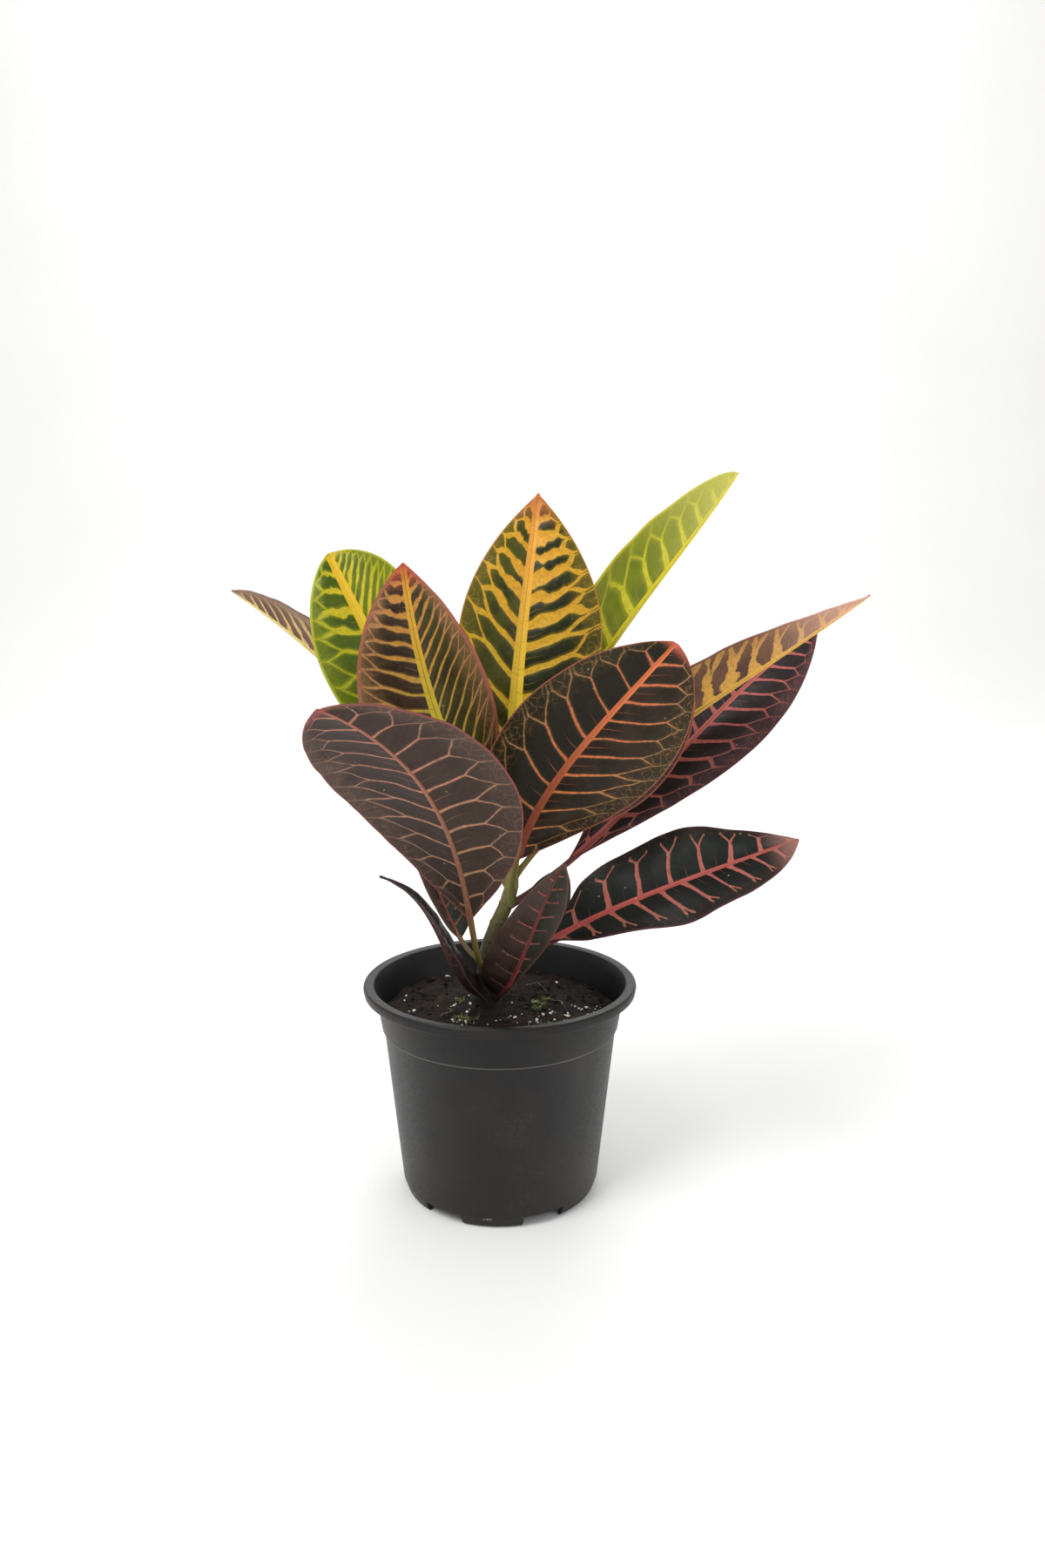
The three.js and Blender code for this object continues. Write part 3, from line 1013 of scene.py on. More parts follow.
def sweep(
    bm: bmesh.types.BMesh,
    rings: Sequence[Station],
    sides: int,
    layer: bmesh.types.BMLayerItem | None = None,
    shape: Callable[[float, int], float] | None = None,
) -> None:
    """Extrudes a ring of edges from station to station and caps both ends.

    Args:
        bm: the mesh to add to.
        rings: each station's centre, two axes and two radii, in metres.
        sides: points in a ring.
        layer: a vertex layer that takes the share of the length.
        shape: scales the radius by angle and station.
    """
    made = bmesh.ops.create_circle(bm, cap_ends=False, segments=sides, radius=1.0)["verts"]
    ring = {v: math.atan2(v.co.y, v.co.x) for v in made}
    edges = list(dict.fromkeys(e for v in made for e in v.link_edges))
    caps = [edges]
    for i, (centre, first, second, wide, high) in enumerate(rings):
        if i:
            grown = bmesh.ops.extrude_edge_only(bm, edges=edges)["geom"]
            fresh = [g for g in grown if isinstance(g, bmesh.types.BMVert)]
            angles: dict[bmesh.types.BMVert, float] = {}
            for v in fresh:
                old = next(e.other_vert(v) for e in v.link_edges if e.other_vert(v) in ring)
                angles[v] = ring[old]
            ring = angles
            near = dict.fromkeys(e for v in ring for e in v.link_edges)
            edges = [e for e in near if all(v in ring for v in e.verts)]
        for v, angle in ring.items():
            swell = shape(angle, i) if shape else 1.0
            v.co = centre + (first * wide * math.cos(angle) + second * high * math.sin(angle)) * swell
            if layer:
                v[layer] = i / (len(rings) - 1)
    caps.append(edges)
    for loop in caps:
        bmesh.ops.edgeloop_fill(bm, edges=loop)


@dataclass
class Leaf:
    """One leaf: a thin blade that replaces the part's plain one, and its stalk with the keel."""

    name: str
    shape: LeafShape
    veins: Veins
    upper: LeafFinish
    under: LeafFinish
    stalk: StalkFinish
    columns: int = 40
    rows: int = 88
    thickness: float = 0.7
    stalk_radius: float = 1.45
    stalk_steps: int = 46
    stalk_sides: int = 12
    stalk_end: float = 0.985
    on_midrib: float = 1e-4  # a smaller share of the half width counts as the midrib
    count_gap: int = 50  # keeps the vein counts of the two halves apart
    nudge: float = 1e-5  # tells the halves apart on the midrib itself

    def swelling(
        self, half: Half, reach: float, across: float, along: float, count: float, seed: int
    ) -> float:
        """How far the blade stands off its smooth surface, between its veins and at its margin.

        Args:
            half: the half of the blade.
            reach: share of the half width.
            across: distance from the midrib in millimetres.
            along: distance from the blade's base in millimetres.
            count: the vein count here.
            seed: shifts the random part.

        Returns:
            The height in millimetres.
        """
        swell = 0.5 - 0.5 * math.cos(2 * math.pi * count)
        swell *= smooth(0.0, 0.2, reach) * (1 - smooth(0.6, 0.9, reach))
        pucker = 0.4 * noise.noise(Vector((half.value * across / 7, along / 7, seed * 1.7)))
        pucker += 1.3 * reach * noise.noise(Vector((half.value * 4.0, along / 15, seed * 2.3)))
        return self.veins.quilt * swell + pucker * smooth(0.3, 1, reach)

    def lay(self, seed: int) -> bmesh.types.BMesh:
        """Lays a grid over the leaf's surface, with the maps that its pattern follows.

        Args:
            seed: shifts the wander of its veins.

        Returns:
            The open sheet in metres.
        """
        bm = bmesh.new()
        vein_map = bm.loops.layers.uv.new("vein")
        size_map = bm.loops.layers.uv.new("size")
        bmesh.ops.create_grid(bm, x_segments=self.columns, y_segments=self.rows, size=0.5)
        flat = {v: (v.co.x * 2, v.co.y + 0.5) for v in bm.verts}
        length = self.shape.blade_length
        spots: dict[tuple[bmesh.types.BMVert, Half], tuple[float, float, float, float]] = {}
        for v, (column, row) in flat.items():
            share = 0.5 - 0.5 * math.cos(math.pi * row)
            reach = abs(column)
            for half in Half:
                if reach > self.on_midrib and half.value * column < 0:
                    continue
                place, across, outward = self.shape.spot(half, reach, share)
                along = share * length
                drift = noise.noise(Vector((half.value * across / 11, along / 11, seed * 3.1)))
                count = self.veins.count(half, across, along + self.veins.wander * drift, length)
                v.co = place + outward * self.swelling(half, reach, across, along, count, seed)
                v.co *= MM
                spots[v, half] = (count + half.of((0, self.count_gap)), reach, half.value * across, along)
        for face in bm.faces:
            half = Half.RIGHT if sum(flat[v][0] for v in face.verts) > 0 else Half.LEFT
            for loop in face.loops:
                count, reach, across, along = spots[loop.vert, half]
                loop[vein_map].uv = (count, reach)
                nudge = self.nudge * half.value if reach < self.on_midrib else 0.0
                loop[size_map].uv = (across / 100 + nudge, along / 100)
        return bm

    def blade(self, seed: int) -> bpy.types.Object:
        """Builds the blade.

        Args:
            seed: shifts the random part of its form and colours.

        Returns:
            The blade.
        """
        bm = self.lay(seed)
        self.face_up(bm)
        given = (self.veins, self.shape.blade_length, seed + 0.37)
        upper = LeafSide(self.upper, *given).material(self.name + "_upper")
        under = LeafSide(self.under, *given).material(self.name + "_under")
        piece = new_piece(self.name + "_blade", bm, upper, under)
        wall = piece.modifiers.new("wall", "SOLIDIFY")
        wall.thickness = self.thickness * MM
        wall.offset = 0.0
        wall.material_offset = 1
        apply_modifiers(piece, 55.0)
        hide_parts(self.name)
        return piece

    def face_up(self, bm: bmesh.types.BMesh) -> None:
        """Turns the faces so that they look the way the leaf's upper side does.

        Args:
            bm: the open sheet.
        """
        bm.normal_update()
        face = Vector(self.shape.face)
        if sum(f.normal.dot(face) * f.calc_area() for f in bm.faces) < 0:
            bmesh.ops.reverse_faces(bm, faces=bm.faces)

    def stalk_piece(self) -> bpy.types.Object:
        """Builds the stalk, which runs on under the blade as its keel.

        Returns:
            The stalk.
        """
        shape = self.shape
        bm = bmesh.new()
        layer = bm.verts.layers.float.new("along")
        rings = []
        for i in range(self.stalk_steps + 1):
            share = self.stalk_end * i / self.stalk_steps
            place, _, right, up = shape.axes(share)
            past = max(0.0, (share - shape.petiole) / (1 - shape.petiole))
            joint = smooth(0.0, 0.04, past) * (1 - smooth(0.04, 0.12, past))
            ends = 1 + 0.35 * (1 - smooth(0.0, 0.06, share)) + 0.15 * joint
            radius = self.stalk_radius * ends * (1 - 0.84 * past**0.75)
            drop = radius * 0.75 * smooth(0.0, 0.1, past)
            rings.append(((place - up * drop) * MM, right, up, radius * MM, radius * MM))
        sweep(bm, rings, self.stalk_sides, layer)
        bmesh.ops.recalc_face_normals(bm, faces=bm.faces)
        soften(bm)
        piece = new_piece(self.name + "_stalk", bm, self.stalk.material(self.name + "_stalk"))
        return piece

    def build(self, seed: int) -> list[bpy.types.Object]:
        """Builds the blade and the stalk."""
        return [self.blade(seed), self.stalk_piece()]


# A leaf's colours come in the order of LeafFinish: blade left and right, deep, the veins' base, tip and
# edge, halo, the midrib's base and tip, margin and tip.

MAROON_BACK = LeafFinish(
    "40302a", "40302a", "322422", "8f5a48", "8f5a48", "6f5142", "55453a",
    "9a5a44", "a05a48", "7c4440", "7c4440",
    raised=0.8, rough=0.55, coat=0.0, width=0.8,
)
LEFT_FAR = LeafFinish(
    "6b4a3a", "6b4a3a", "543a2e", "d3a552", "dbb878", "b08f60", "8f6a40",
    "dabd5c", "e6cf88", "7d6052", "927060",
    width=1.7, flood_left=0.8, pool=0.5, flood_right=0.8, rib_width=2.8, margin_width=1.5, fork=0.42,
    arch=0.9, link_left=0.5, link_right=0.5, halo_width=0.4, tip_start=0.85,
)
RIGHT_FAR = LeafFinish(
    "6e4b33", "6e4b33", "4a3024", "d9a336", "dba452", "c08c44", "8c603a",
    "dba836", "e8b44c", "74443a", "e6b49c",
    width=2.4, flood_left=1.1, pool=0.5, flood_right=1.2, rib_width=3.0, margin_width=1.3, tip_start=0.62,
    fork=0.38, arch=0.95, link_left=0.6, link_right=0.6, halo_width=0.4, rough=0.4,
)

LEAVES = [
    Leaf(
        "leaf_front_left",
        LeafShape(
            (-4, -1, 103), (-21, -9, 113), (0, -80, 212), (-64, -116, 242),
            face=(0, 0.7, 0.7), petiole=0.24, width=70, base=1.0, point=0.69, fold=8, bend=-0.36,
            skew=0.05,
        ),
        Veins(spacing=(15.0, 13.5), slant=(0.02, 0.62), bow=-0.003, wander=1.6),
        replace(MAROON_BACK, blade_left="43382a", blade_right="4a4030", rough=0.45, raised=-0.6),
        LeafFinish(
            "3f312a", "392d28", "362823", "b5875c", "c67f6a", "ae8266", "6c584d",
            "8a5840", "b06a5a", "a5524f", "a5524f",
            fork=0.5, arch=0.78, width=0.85, rib_width=2.2, net=0.35, rough=0.55, raised=0.8, coat=0.0,
            halo_width=0.7, glow=0.3, margin_width=0.65, tip_start=0.97,
        ),
        StalkFinish("8a8c44", "845040", "a86c5a"),
    ),
    Leaf(
        "leaf_front_right",
        LeafShape(
            (5, -2, 139), (5, -20, 190), (42, -36, 225), (74, -42, 263),
            face=(0.15, -0.95, 0.2), petiole=0.17, width=68, base=0.75, point=0.66, fold=10, lean=-0.15,
            skew=0.01,
        ),
        Veins(spacing=(14.0, 10.6), slant=(0.33, 0.77), tighten=0.0, wander=1.3),
        LeafFinish(
            "231d14", "32271f", "1c1711", "cf7a44", "cf6f4a", "a87a52", "453e24",
            "86432f", "dd7a48", "9a5548", "c0604c",
            fork=0.62, arch=0.84, link_left=0.85, width=0.95, rib_width=4.5, net=0.55, halo_width=1.0,
            glow=0.3, margin_width=0.7, specular=0.12,
        ),
        MAROON_BACK,
        StalkFinish("6d6f38", "86603c", "a9553f"),
    ),
    Leaf(
        "leaf_right_hidden",
        LeafShape(
            (5, 1, 152), (14, -1, 190), (50, -10, 215), (85, -14, 248),
            face=(0.1, -0.95, 0.2), petiole=0.2, width=60, base=0.75, point=0.7, fold=12,
        ),
        Veins(spacing=(11, 8), slant=(0.3, 0.7)),
        LeafFinish(
            "2a2018", "33261f", "1f1914", "c06a48", "c06a4a", "a0604f", "4f4228",
            "a34f38", "bd6046", "a85a4c", "a85a4c",
        ),
        MAROON_BACK,
        StalkFinish("6b4a33", "8a4638", "a9553f"),
    ),
    Leaf(
        "leaf_left_upright",
        LeafShape(
            (5, 0, 162), (-22, -15, 201), (-36, -26, 249), (-40, -36, 296),
            face=(-0.05, -0.98, 0.1), petiole=0.2, width=58, base=0.75, point=0.85, fold=8, skew=-0.07,
        ),
        Veins(spacing=(8.6, 8.8), slant=(0.28, 1.42), bow=0.01, wander=1.8, quilt=0.45),
        LeafFinish(
            "3c2b1c", "43401c", "261d14", "bab236", "d0903e", "b07a50", "785c36",
            "c0c22e", "dfa930", "a5604f", "bd5038",
            fork=0.66, arch=0.92, width=1.25, flood_left=0.75, pool=0.95, flood_right=0.6, rib_width=6.2,
            margin_width=2.3, tip_start=0.89, link_left=0.9, halo_width=0.9, glow=0.75,
        ),
        MAROON_BACK,
        StalkFinish("6d6a35", "9a8a35", "a5852f"),
    ),
    Leaf(
        "leaf_left_back",
        LeafShape(
            (5, 1, 154), (-30, 16, 200), (-60, 24, 260), (-83, 42, 303),
            face=(0.2, -0.95, 0.2), petiole=0.3, width=58, base=0.98, point=0.65, fold=8, lean=-0.18,
        ),
        Veins(spacing=(14.0, 8.0), slant=(0.31, 1.5), wander=1.8, quilt=0.5),
        LeafFinish(
            "47580a", "5c6c0c", "33480a", "848c1c", "ccb820", "a0a018", "80860f",
            "b5b52e", "e0b52a", "a8b030", "c9b030",
            width=1.5, flood_left=1.2, flood_right=0.5, rib_width=8.6, halo_width=1.6, net=0.45,
            margin_width=1.7, rough=0.4, glow=0.4, coat=0.08, specular=0.15, arch=0.86, pool=0.85,
        ),
        replace(
            MAROON_BACK, blade_left="5f7a2a", blade_right="5f7a2a", deep="4a6420", vein_base="a0aa3a",
            vein_tip="a0aa3a", vein_edge="8f9c3a", halo="6f8a30", rib_base="b0b03a", rib_tip="c0b03a",
            margin="9aa03a", tip="a8a03a",
        ),
        StalkFinish("6d7a35", "8f9a35", "a5a52f"),
    ),
    Leaf(
        "leaf_left_far",
        LeafShape(
            (5, 1, 145), (-31, 19, 206), (-82, 45, 253), (-138, 74, 286),
            face=(0.4, 0.2, 0.85), petiole=0.4, width=44, base=0.7, point=0.9, fold=35,
        ),
        Veins(spacing=(11.0, 11.0), slant=(1.0, 1.0), wander=2.0),
        LEFT_FAR,
        replace(LEFT_FAR, raised=0.5),
        StalkFinish("6d7035", "a89a4a", "e0c878"),
    ),
    Leaf(
        "leaf_crown",
        LeafShape(
            (7, 3, 180), (4, 15, 228), (13, 18, 281), (19, 34, 331),
            face=(0, -1, 0.1), petiole=0.13, width=68, base=0.9, point=1, fold=6, skew=0.12,
        ),
        Veins(spacing=(14.0, 12.5), slant=(0.91, 0.35), wander=2.0, quilt=0.55),
        LeafFinish(
            "47480f", "1f2409", "1d2208", "dab42c", "e0a12e", "d2a02c", "6b5f1c",
            "e6ca38", "e59f3e", "b0782e", "b8663a",
            fork=0.6, arch=0.8, width=2.7, flood_left=1.1, flood_right=1.1, pool=0.76, rib_width=7.6,
            halo_width=1.6, glow=0.6, net=0.4, margin_width=0.9, tip_start=0.86, rough=0.4, coat=0.1,
            specular=0.14, link_right=0.85,
        ),
        replace(
            MAROON_BACK, blade_left="5a5c2a", blade_right="5a5c2a", deep="4a4a22", vein_base="b09a3a",
            vein_tip="b08a3a", vein_edge="8f7a3a",
        ),
        StalkFinish("77763a", "b5a532", "d9b02e"),
    ),
    Leaf(
        "leaf_right_high",
        LeafShape(
            (6, 3, 170), (30, 22, 243), (83, 53, 289), (124, 78, 346),
            face=(-0.46, 0.32, 0.64), petiole=0.24, width=58, base=0.5, point=0.68, fold=45,
        ),
        Veins(spacing=(19.0, 19.0), slant=(0.45, 0.45), wander=2.2, quilt=0.6),
        LeafFinish(
            "5f7a14", "5f7a14", "4a6410", "c0c030", "c9c030", "a9b030", "7f961c",
            "d0c430", "e0cc2a", "b0b52e", "b5a43a",
            width=2.3, flood_left=0.4, flood_right=0.4, rib_width=3.6, halo_width=2.2, rough=0.3,
            coat=0.15,
        ),
        # Its pale tip colour over the top half is a painted sheen, not the tip's own colour.
        LeafFinish(
            "7e8908", "7e8908", "5f6e06", "d8d024", "e4dc3a", "b8b420", "a5a41a",
            "dcc81e", "e8d020", "d2c42e", "d4cf66",
            width=2.3, flood_left=0.3, flood_right=0.3, rib_width=4.0, halo_width=2.2, fork=0.5,
            arch=0.74, net=0.25, raised=0.6, tip_start=0.5, rough=0.32, coat=0.14, specular=0.16,
            margin_width=1.6,
        ),
        StalkFinish("77803a", "c0bd32", "e0cf2e"),
    ),
    Leaf(
        "leaf_right_far",
        LeafShape(
            (5, 1, 149), (50, 11, 209), (110, -1, 240), (166, -10, 283),
            face=(-0.56, 0.4, 0.75), petiole=0.27, width=46, base=0.7, point=1.1, fold=42,
        ),
        Veins(spacing=(14.5, 14.5), slant=(0.6, 0.6), wander=2.4),
        RIGHT_FAR,
        replace(RIGHT_FAR, raised=0.5),
        StalkFinish("7a6a35", "b58a3a", "e0b04a"),
    ),
    Leaf(
        "leaf_right_dark",
        LeafShape(
            (5, 1, 138), (65, 25, 170), (101, 37, 230), (161, 52, 267),
            face=(-0.1, -0.97, 0.3), petiole=0.15, width=51, base=1.45, point=1, fold=8, lean=-0.1,
        ),
        Veins(spacing=(16.0, 13.5), slant=(0.27, 0.81), wander=1.6),
        LeafFinish(
            "271c1d", "251d1d", "171314", "a5564c", "b8625a", "985248", "553638",
            "a04e46", "bd655a", "60302f", "74383a",
            width=2.0, rib_width=3.8, fork=0.56, arch=0.78, halo_width=0.4, net=0.5, margin_width=1.1,
            link_left=0.8, glow=0.45,
        ),
        MAROON_BACK,
        StalkFinish("5a3a30", "7f3a3c", "a04644"),
    ),
    Leaf(
        "leaf_right_low",
        LeafShape(
            (-3, 0, 101), (32, -24, 140), (84, -38, 160), (130, -40, 178),
            face=(-0.2, -0.7, 0.7), petiole=0.22, width=46, base=1.1, point=0.88, fold=8, lean=-0.1,
            bend=-0.13, skew=-0.09, wave=2.5, waves=2.5,
        ),
        Veins(spacing=(17.0, 13.0), slant=(0.11, 0.6), wander=1.4),
        LeafFinish(
            "161a15", "191a17", "101310", "a05a4c", "ad6258", "98604f", "33261f",
            "a34a44", "b05a52", "44262a", "9c7068",
            width=1.8, rib_width=3.6, fork=0.6, arch=0.8, link_left=0.5, link_right=0.25, halo_width=0.4,
            net=0.15, margin_width=1.1, glow=0.2, tip_start=0.86, rough=0.5, coat=0.02, specular=0.12,
        ),
        MAROON_BACK,
        StalkFinish("3c3a24", "8a3f44", "a8464a"),
    ),
    Leaf(
        "leaf_low_front",
        LeafShape(
            (-2, -2, 93), (8, -24, 104), (16, -37, 146), (28, -44, 169),
            face=(-0.5, -0.85, -0.2), petiole=0.04, width=27, base=1.15, point=0.8, fold=15, lean=-0.65,
            bend=-0.15, skew=-0.2,
        ),
        Veins(spacing=(11.0, 9.5), slant=(0.15, 0.8)),
        LeafFinish(
            "48372f", "2c2c22", "2a1f1d", "8f6a58", "a0504e", "8f6a58", "443530",
            "a04a4e", "74483f", "5a4038", "5a4038",
            width=0.62, rib_width=3.0, halo_width=0.4, net=0.15, link_left=0.1, link_right=0.1, fork=0.5,
            arch=0.6, rough=0.5,
        ),
        MAROON_BACK,
        StalkFinish("5a4034", "8f484c", "a04c50"),
        columns=28, rows=60, stalk_radius=1.2,
    ),
    Leaf(
        "leaf_low_left",
        LeafShape(
            (-6, -1, 93), (-27, -16, 102), (-22, -46, 154), (-50, -58, 167),
            face=(0.3, -0.4, 0.8), petiole=0.06, width=20, base=0.12, point=1, fold=28,
        ),
        Veins(spacing=(9.0, 9.0), slant=(0.8, 0.8)),
        LeafFinish(
            "2c2224", "2c2224", "1f181a", "4f3c38", "4f3c38", "43332f", "35292a",
            "5f423e", "54393a", "463638", "463638",
            width=0.5, rib_width=1.6, net=0.2, rough=0.42,
        ),
        replace(
            MAROON_BACK, blade_left="342829", blade_right="342829", deep="2a2022", vein_base="5a4038",
            vein_tip="5a4038", vein_edge="4a3834", halo="42342f", rib_base="6a443c", rib_tip="5a3c38",
        ),
        StalkFinish("4a3a34", "5f4038", "5a3c38"),
        columns=24, rows=64, stalk_radius=1.0,
    ),
    Leaf(
        "leaf_low_right",
        LeafShape(
            (-3, 0, 109), (16, 2, 117), (24, -2, 137), (31, -4, 157),
            face=(-0.3, -0.7, 0.4), petiole=0.25, width=24, base=0.85, point=0.75, fold=20,
        ),
        Veins(spacing=(8.0, 8.0), slant=(0.6, 0.6)),
        LeafFinish(
            "1f2217", "1f2217", "161912", "544a34", "544436", "443c2c", "2c2c22",
            "6a5a3a", "6a4a3a", "342f24", "342c24",
            width=0.6, rib_width=1.5, net=0.3,
        ),
        MAROON_BACK,
        StalkFinish("4a4a2c", "4f4a30", "5a4a34"),
        columns=24, rows=44, stalk_radius=1.0,
    ),
    Leaf(
        "leaf_low_back",
        LeafShape(
            (-3, 1, 107), (-21, 6, 110), (-28, 14, 138), (-54, 26, 200),
            face=(0.2, -0.8, 0.5), petiole=0.2, width=23, base=0.65, point=1.2, fold=15, skew=0.5,
        ),
        Veins(spacing=(9.0, 9.0), slant=(0.6, 0.6)),
        LeafFinish(
            "402e28", "242c1f", "1f1a17", "6a4838", "6a4838", "554236", "383526",
            "8a4c40", "8a4c40", "553c34", "553c34",
            width=0.6, rib_width=1.7, net=0.3, rough=0.5,
        ),
        MAROON_BACK,
        StalkFinish("5a5a30", "7f5040", "8f4f42"),
        columns=28, rows=60, stalk_radius=1.2,
    ),
]


# Stem


@dataclass
class Stem:
    """The plant's one short stem, with leaf scars and a bud."""

    path: Sequence[Point] = (
        (-6, 0, 55),
        (-6, 0, 92),
        (-6, 0, 111),
        (-2.5, 0, 126),
        (4.5, 0.5, 143),
        (6, 1.5, 158),
        (7, 3, 205),
    )
    foot: float = 5.4
    top: float = 2.6
    steps: int = 150
    sides: int = 28
    scars: int = 11

    def place(self, share: float) -> Vector:
        """A place on the stem's axis.

        Args:
            share: share of the path, from foot to top.

        Returns:
            The place in millimetres.
        """
        points = [Vector(p) for p in self.path]
        spans = len(points) - 1
        t = share * spans
        i = min(spans - 1, int(t))
        t -= i
        before = points[max(0, i - 1)] if i else points[0] * 2 - points[1]
        after = points[i + 2] if i + 2 < len(points) else points[-1] * 2 - points[-2]
        a, b = points[i], points[i + 1]
        curve = a * 2 + (b - before) * t + (before * 2 - a * 5 + b * 4 - after) * t * t
        return (curve + (a * 3 - before - b * 3 + after) * t**3) * 0.5

    def radius(self, share: float) -> float:
        """The stem's radius, with a swelling at each scar.

        Args:
            share: share of the path, from foot to top.

        Returns:
            The radius in millimetres.
        """
        taper = self.foot + (self.top - self.foot) * share
        scar = 0.35 * max(0.0, math.cos(share * (2 * self.scars) * math.pi)) ** 12
        bud = math.sqrt(min(1.0, (1 - share) * 14 + 0.08))
        return (taper + scar) * bud

    def build(self) -> bpy.types.Object:
        """Builds the stem in place of the part's plain one.

        Returns:
            The stem.
        """
        bm = bmesh.new()
        layer = bm.verts.layers.float.new("along")
        rings = []
        for i in range(self.steps + 1):
            share = i / self.steps
            radius = self.radius(share) * MM
            rings.append((self.place(share) * MM, EAST, NORTH, radius, radius))

        def bark(angle: float, i: int) -> float:
            """Ridges along the bark."""
            place = Vector((math.cos(angle) * 1.6, math.sin(angle) * 1.6, i * 0.09))
            return 1 + 0.06 * noise.noise(place * 1.7) + 0.02 * math.sin(angle * 7 + i * 0.11)

        sweep(bm, rings, self.sides, layer, bark)
        bmesh.ops.recalc_face_normals(bm, faces=bm.faces)
        soften(bm)
        piece = new_piece("stem_bark", bm, SHADED_BARK.material("stem_bark"))
        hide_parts("stem")
        return piece


# Pot


@dataclass
class Pot:
    """A round nursery pot with a turned-down rim, a collar and six drain notches; millimetres."""

    height: float = 102.0
    rim: float = 65.0
    rim_width: float = 5.0
    skirt: float = 4.5
    wall: float = 1.2
    plain_top: float = 57.8
    collar: float = 59.2
    collar_foot: float = 80.5
    collar_step: float = 1.0
    heel: float = 6.0
    heel_radius: float = 47.5
    foot: float = 44.5
    disc: float = 33.0
    channel: float = 6.0
    notches: int = 6
    notch_height: float = 5.4
    notch_degrees: float = 25.0
    first_notch: float = -65.0
    drain: float = 3.5
    segments: int = 180

    def side(self, z: float) -> float:
        """The plain wall's outside radius at a height."""
        share = (z - self.heel) / (self.height - self.heel)
        return self.heel_radius + (self.plain_top - self.heel_radius) * share

    def profile(self) -> list[tuple[float, float]]:
        """The section of the turned body, from the middle underneath round to the middle inside.

        Returns:
            Radii and heights in millimetres.
        """
        inner = self.rim - self.rim_width
        low = self.height - self.skirt
        under = self.height - self.wall
        shoulder = under - 3
        gutter_in = self.disc + self.channel / 2
        gutter_out = self.foot - self.wall
        step = self.side(self.collar_foot)
        top = self.height
        w = self.wall
        collar, stepped = self.collar_foot, step + self.collar_step
        return [
            (0, 0), (self.disc - 0.4, 0), (self.disc, 0.3), (gutter_in, self.channel),
            (gutter_out + w, self.channel), (gutter_out, 0), (self.foot - 0.3, 0), (self.foot, 0.3),
            (self.foot + 1.4, 1.4), (self.heel_radius - 0.5, self.heel - 1.4), (self.heel_radius, self.heel),
            (step - 0.15, collar - 0.6), (step + 0.15, collar - 0.1), (stepped - 0.2, collar + 0.3),
            (stepped, collar + 0.8), (self.collar, shoulder), (self.collar + 0.5, under - 0.8),
            (self.collar + 1.4, under), (self.rim - w - 0.3, under), (self.rim - w, under - 0.3),
            (self.rim - w - 0.5, low + 0.2), (self.rim - w - 0.2, low), (self.rim - 0.9, low),
            (self.rim - 0.5, low + 0.4), (self.rim, top - 1.6), (self.rim - 0.25, top - 0.6),
            (self.rim - 0.9, top), (inner + 0.9, top), (inner + 0.1, top - 0.35), (inner - 0.2, top - 1.1),
            (self.collar - w, shoulder - 0.6), (stepped - w, collar + 1), (step - w, collar - 1),
            (self.side(self.channel) - w, self.channel + w), (gutter_in - w / 2, self.channel + w),
            (self.disc - w / 2, w), (0, w),
        ]

    def wedge(self, bm: bmesh.types.BMesh, azimuth: float) -> None:
        """Adds the wedge that cuts one notch, from below the ground up to the notch's top.

        Args:
            bm: the mesh to add to.
            azimuth: the direction of the notch's middle.
        """
        half = math.radians(self.notch_degrees / 2)
        start = bm.verts.new((self.foot - 3 * self.wall, 0, -1))
        outer = bm.verts.new((self.heel_radius + 2, 0, -1))
        turn = [start, outer, bm.edges.new((start, outer))]
        for v in (start, outer):
            angle = azimuth - half
            v.co = Vector((v.co.x * math.cos(angle), v.co.x * math.sin(angle), v.co.z)) * MM
        swept = bmesh.ops.spin(bm, geom=turn, axis=UP, cent=(0, 0, 0), angle=2 * half, steps=14)
        ends = [v for v in swept["geom_last"] if isinstance(v, bmesh.types.BMVert)]
        sheet = self.spread(f for v in ends for f in v.link_faces)
        raised = bmesh.ops.extrude_face_region(bm, geom=sheet, use_keep_orig=True)["geom"]
        lift = [g for g in raised if isinstance(g, bmesh.types.BMVert)]
        bmesh.ops.translate(bm, verts=lift, vec=(0, 0, (self.notch_height + 1) * MM))

    def rod(self, bm: bmesh.types.BMesh, azimuth: float) -> None:
        """Adds the rod that cuts one drain hole through the channel's roof.

        Args:
            bm: the mesh to add to.
            azimuth: the direction of the hole.
        """
        size = {"radius1": self.drain * MM, "radius2": self.drain * MM, "depth": 4 * MM}
        made = bmesh.ops.create_cone(bm, cap_ends=True, segments=24, **size)["verts"]
        middle = (self.disc + self.channel / 2 + self.foot) / 2
        spot = Vector((math.cos(azimuth), math.sin(azimuth), 0)) * middle
        spot.z = self.channel + self.wall / 2
        bmesh.ops.translate(bm, verts=made, vec=spot * MM)

    def cutter(self) -> bpy.types.Object:
        """Makes the wedges and rods as one object.

        Returns:
            The object, to be removed after the cut.
        """
        bm = bmesh.new()
        for i in range(self.notches):
            azimuth = math.radians(self.first_notch + 360 / self.notches * i)
            self.wedge(bm, azimuth)
            self.rod(bm, azimuth)
        bmesh.ops.recalc_face_normals(bm, faces=bm.faces)
        return mesh_object("cutter", bm)

    def spread(self, faces: Iterable[bmesh.types.BMFace]) -> list[bmesh.types.BMFace]:
        """Grows some faces to all that they touch, in an order that is the same on each run.

        Args:
            faces: the faces to start from.

        Returns:
            The whole sheet.
        """
        found = dict.fromkeys(faces)
        rim = list(found)
        while rim:
            near = dict.fromkeys(f for face in rim for e in face.edges for f in e.link_faces)
            rim = [f for f in near if f not in found]
            found |= dict.fromkeys(rim)
        return list(found)

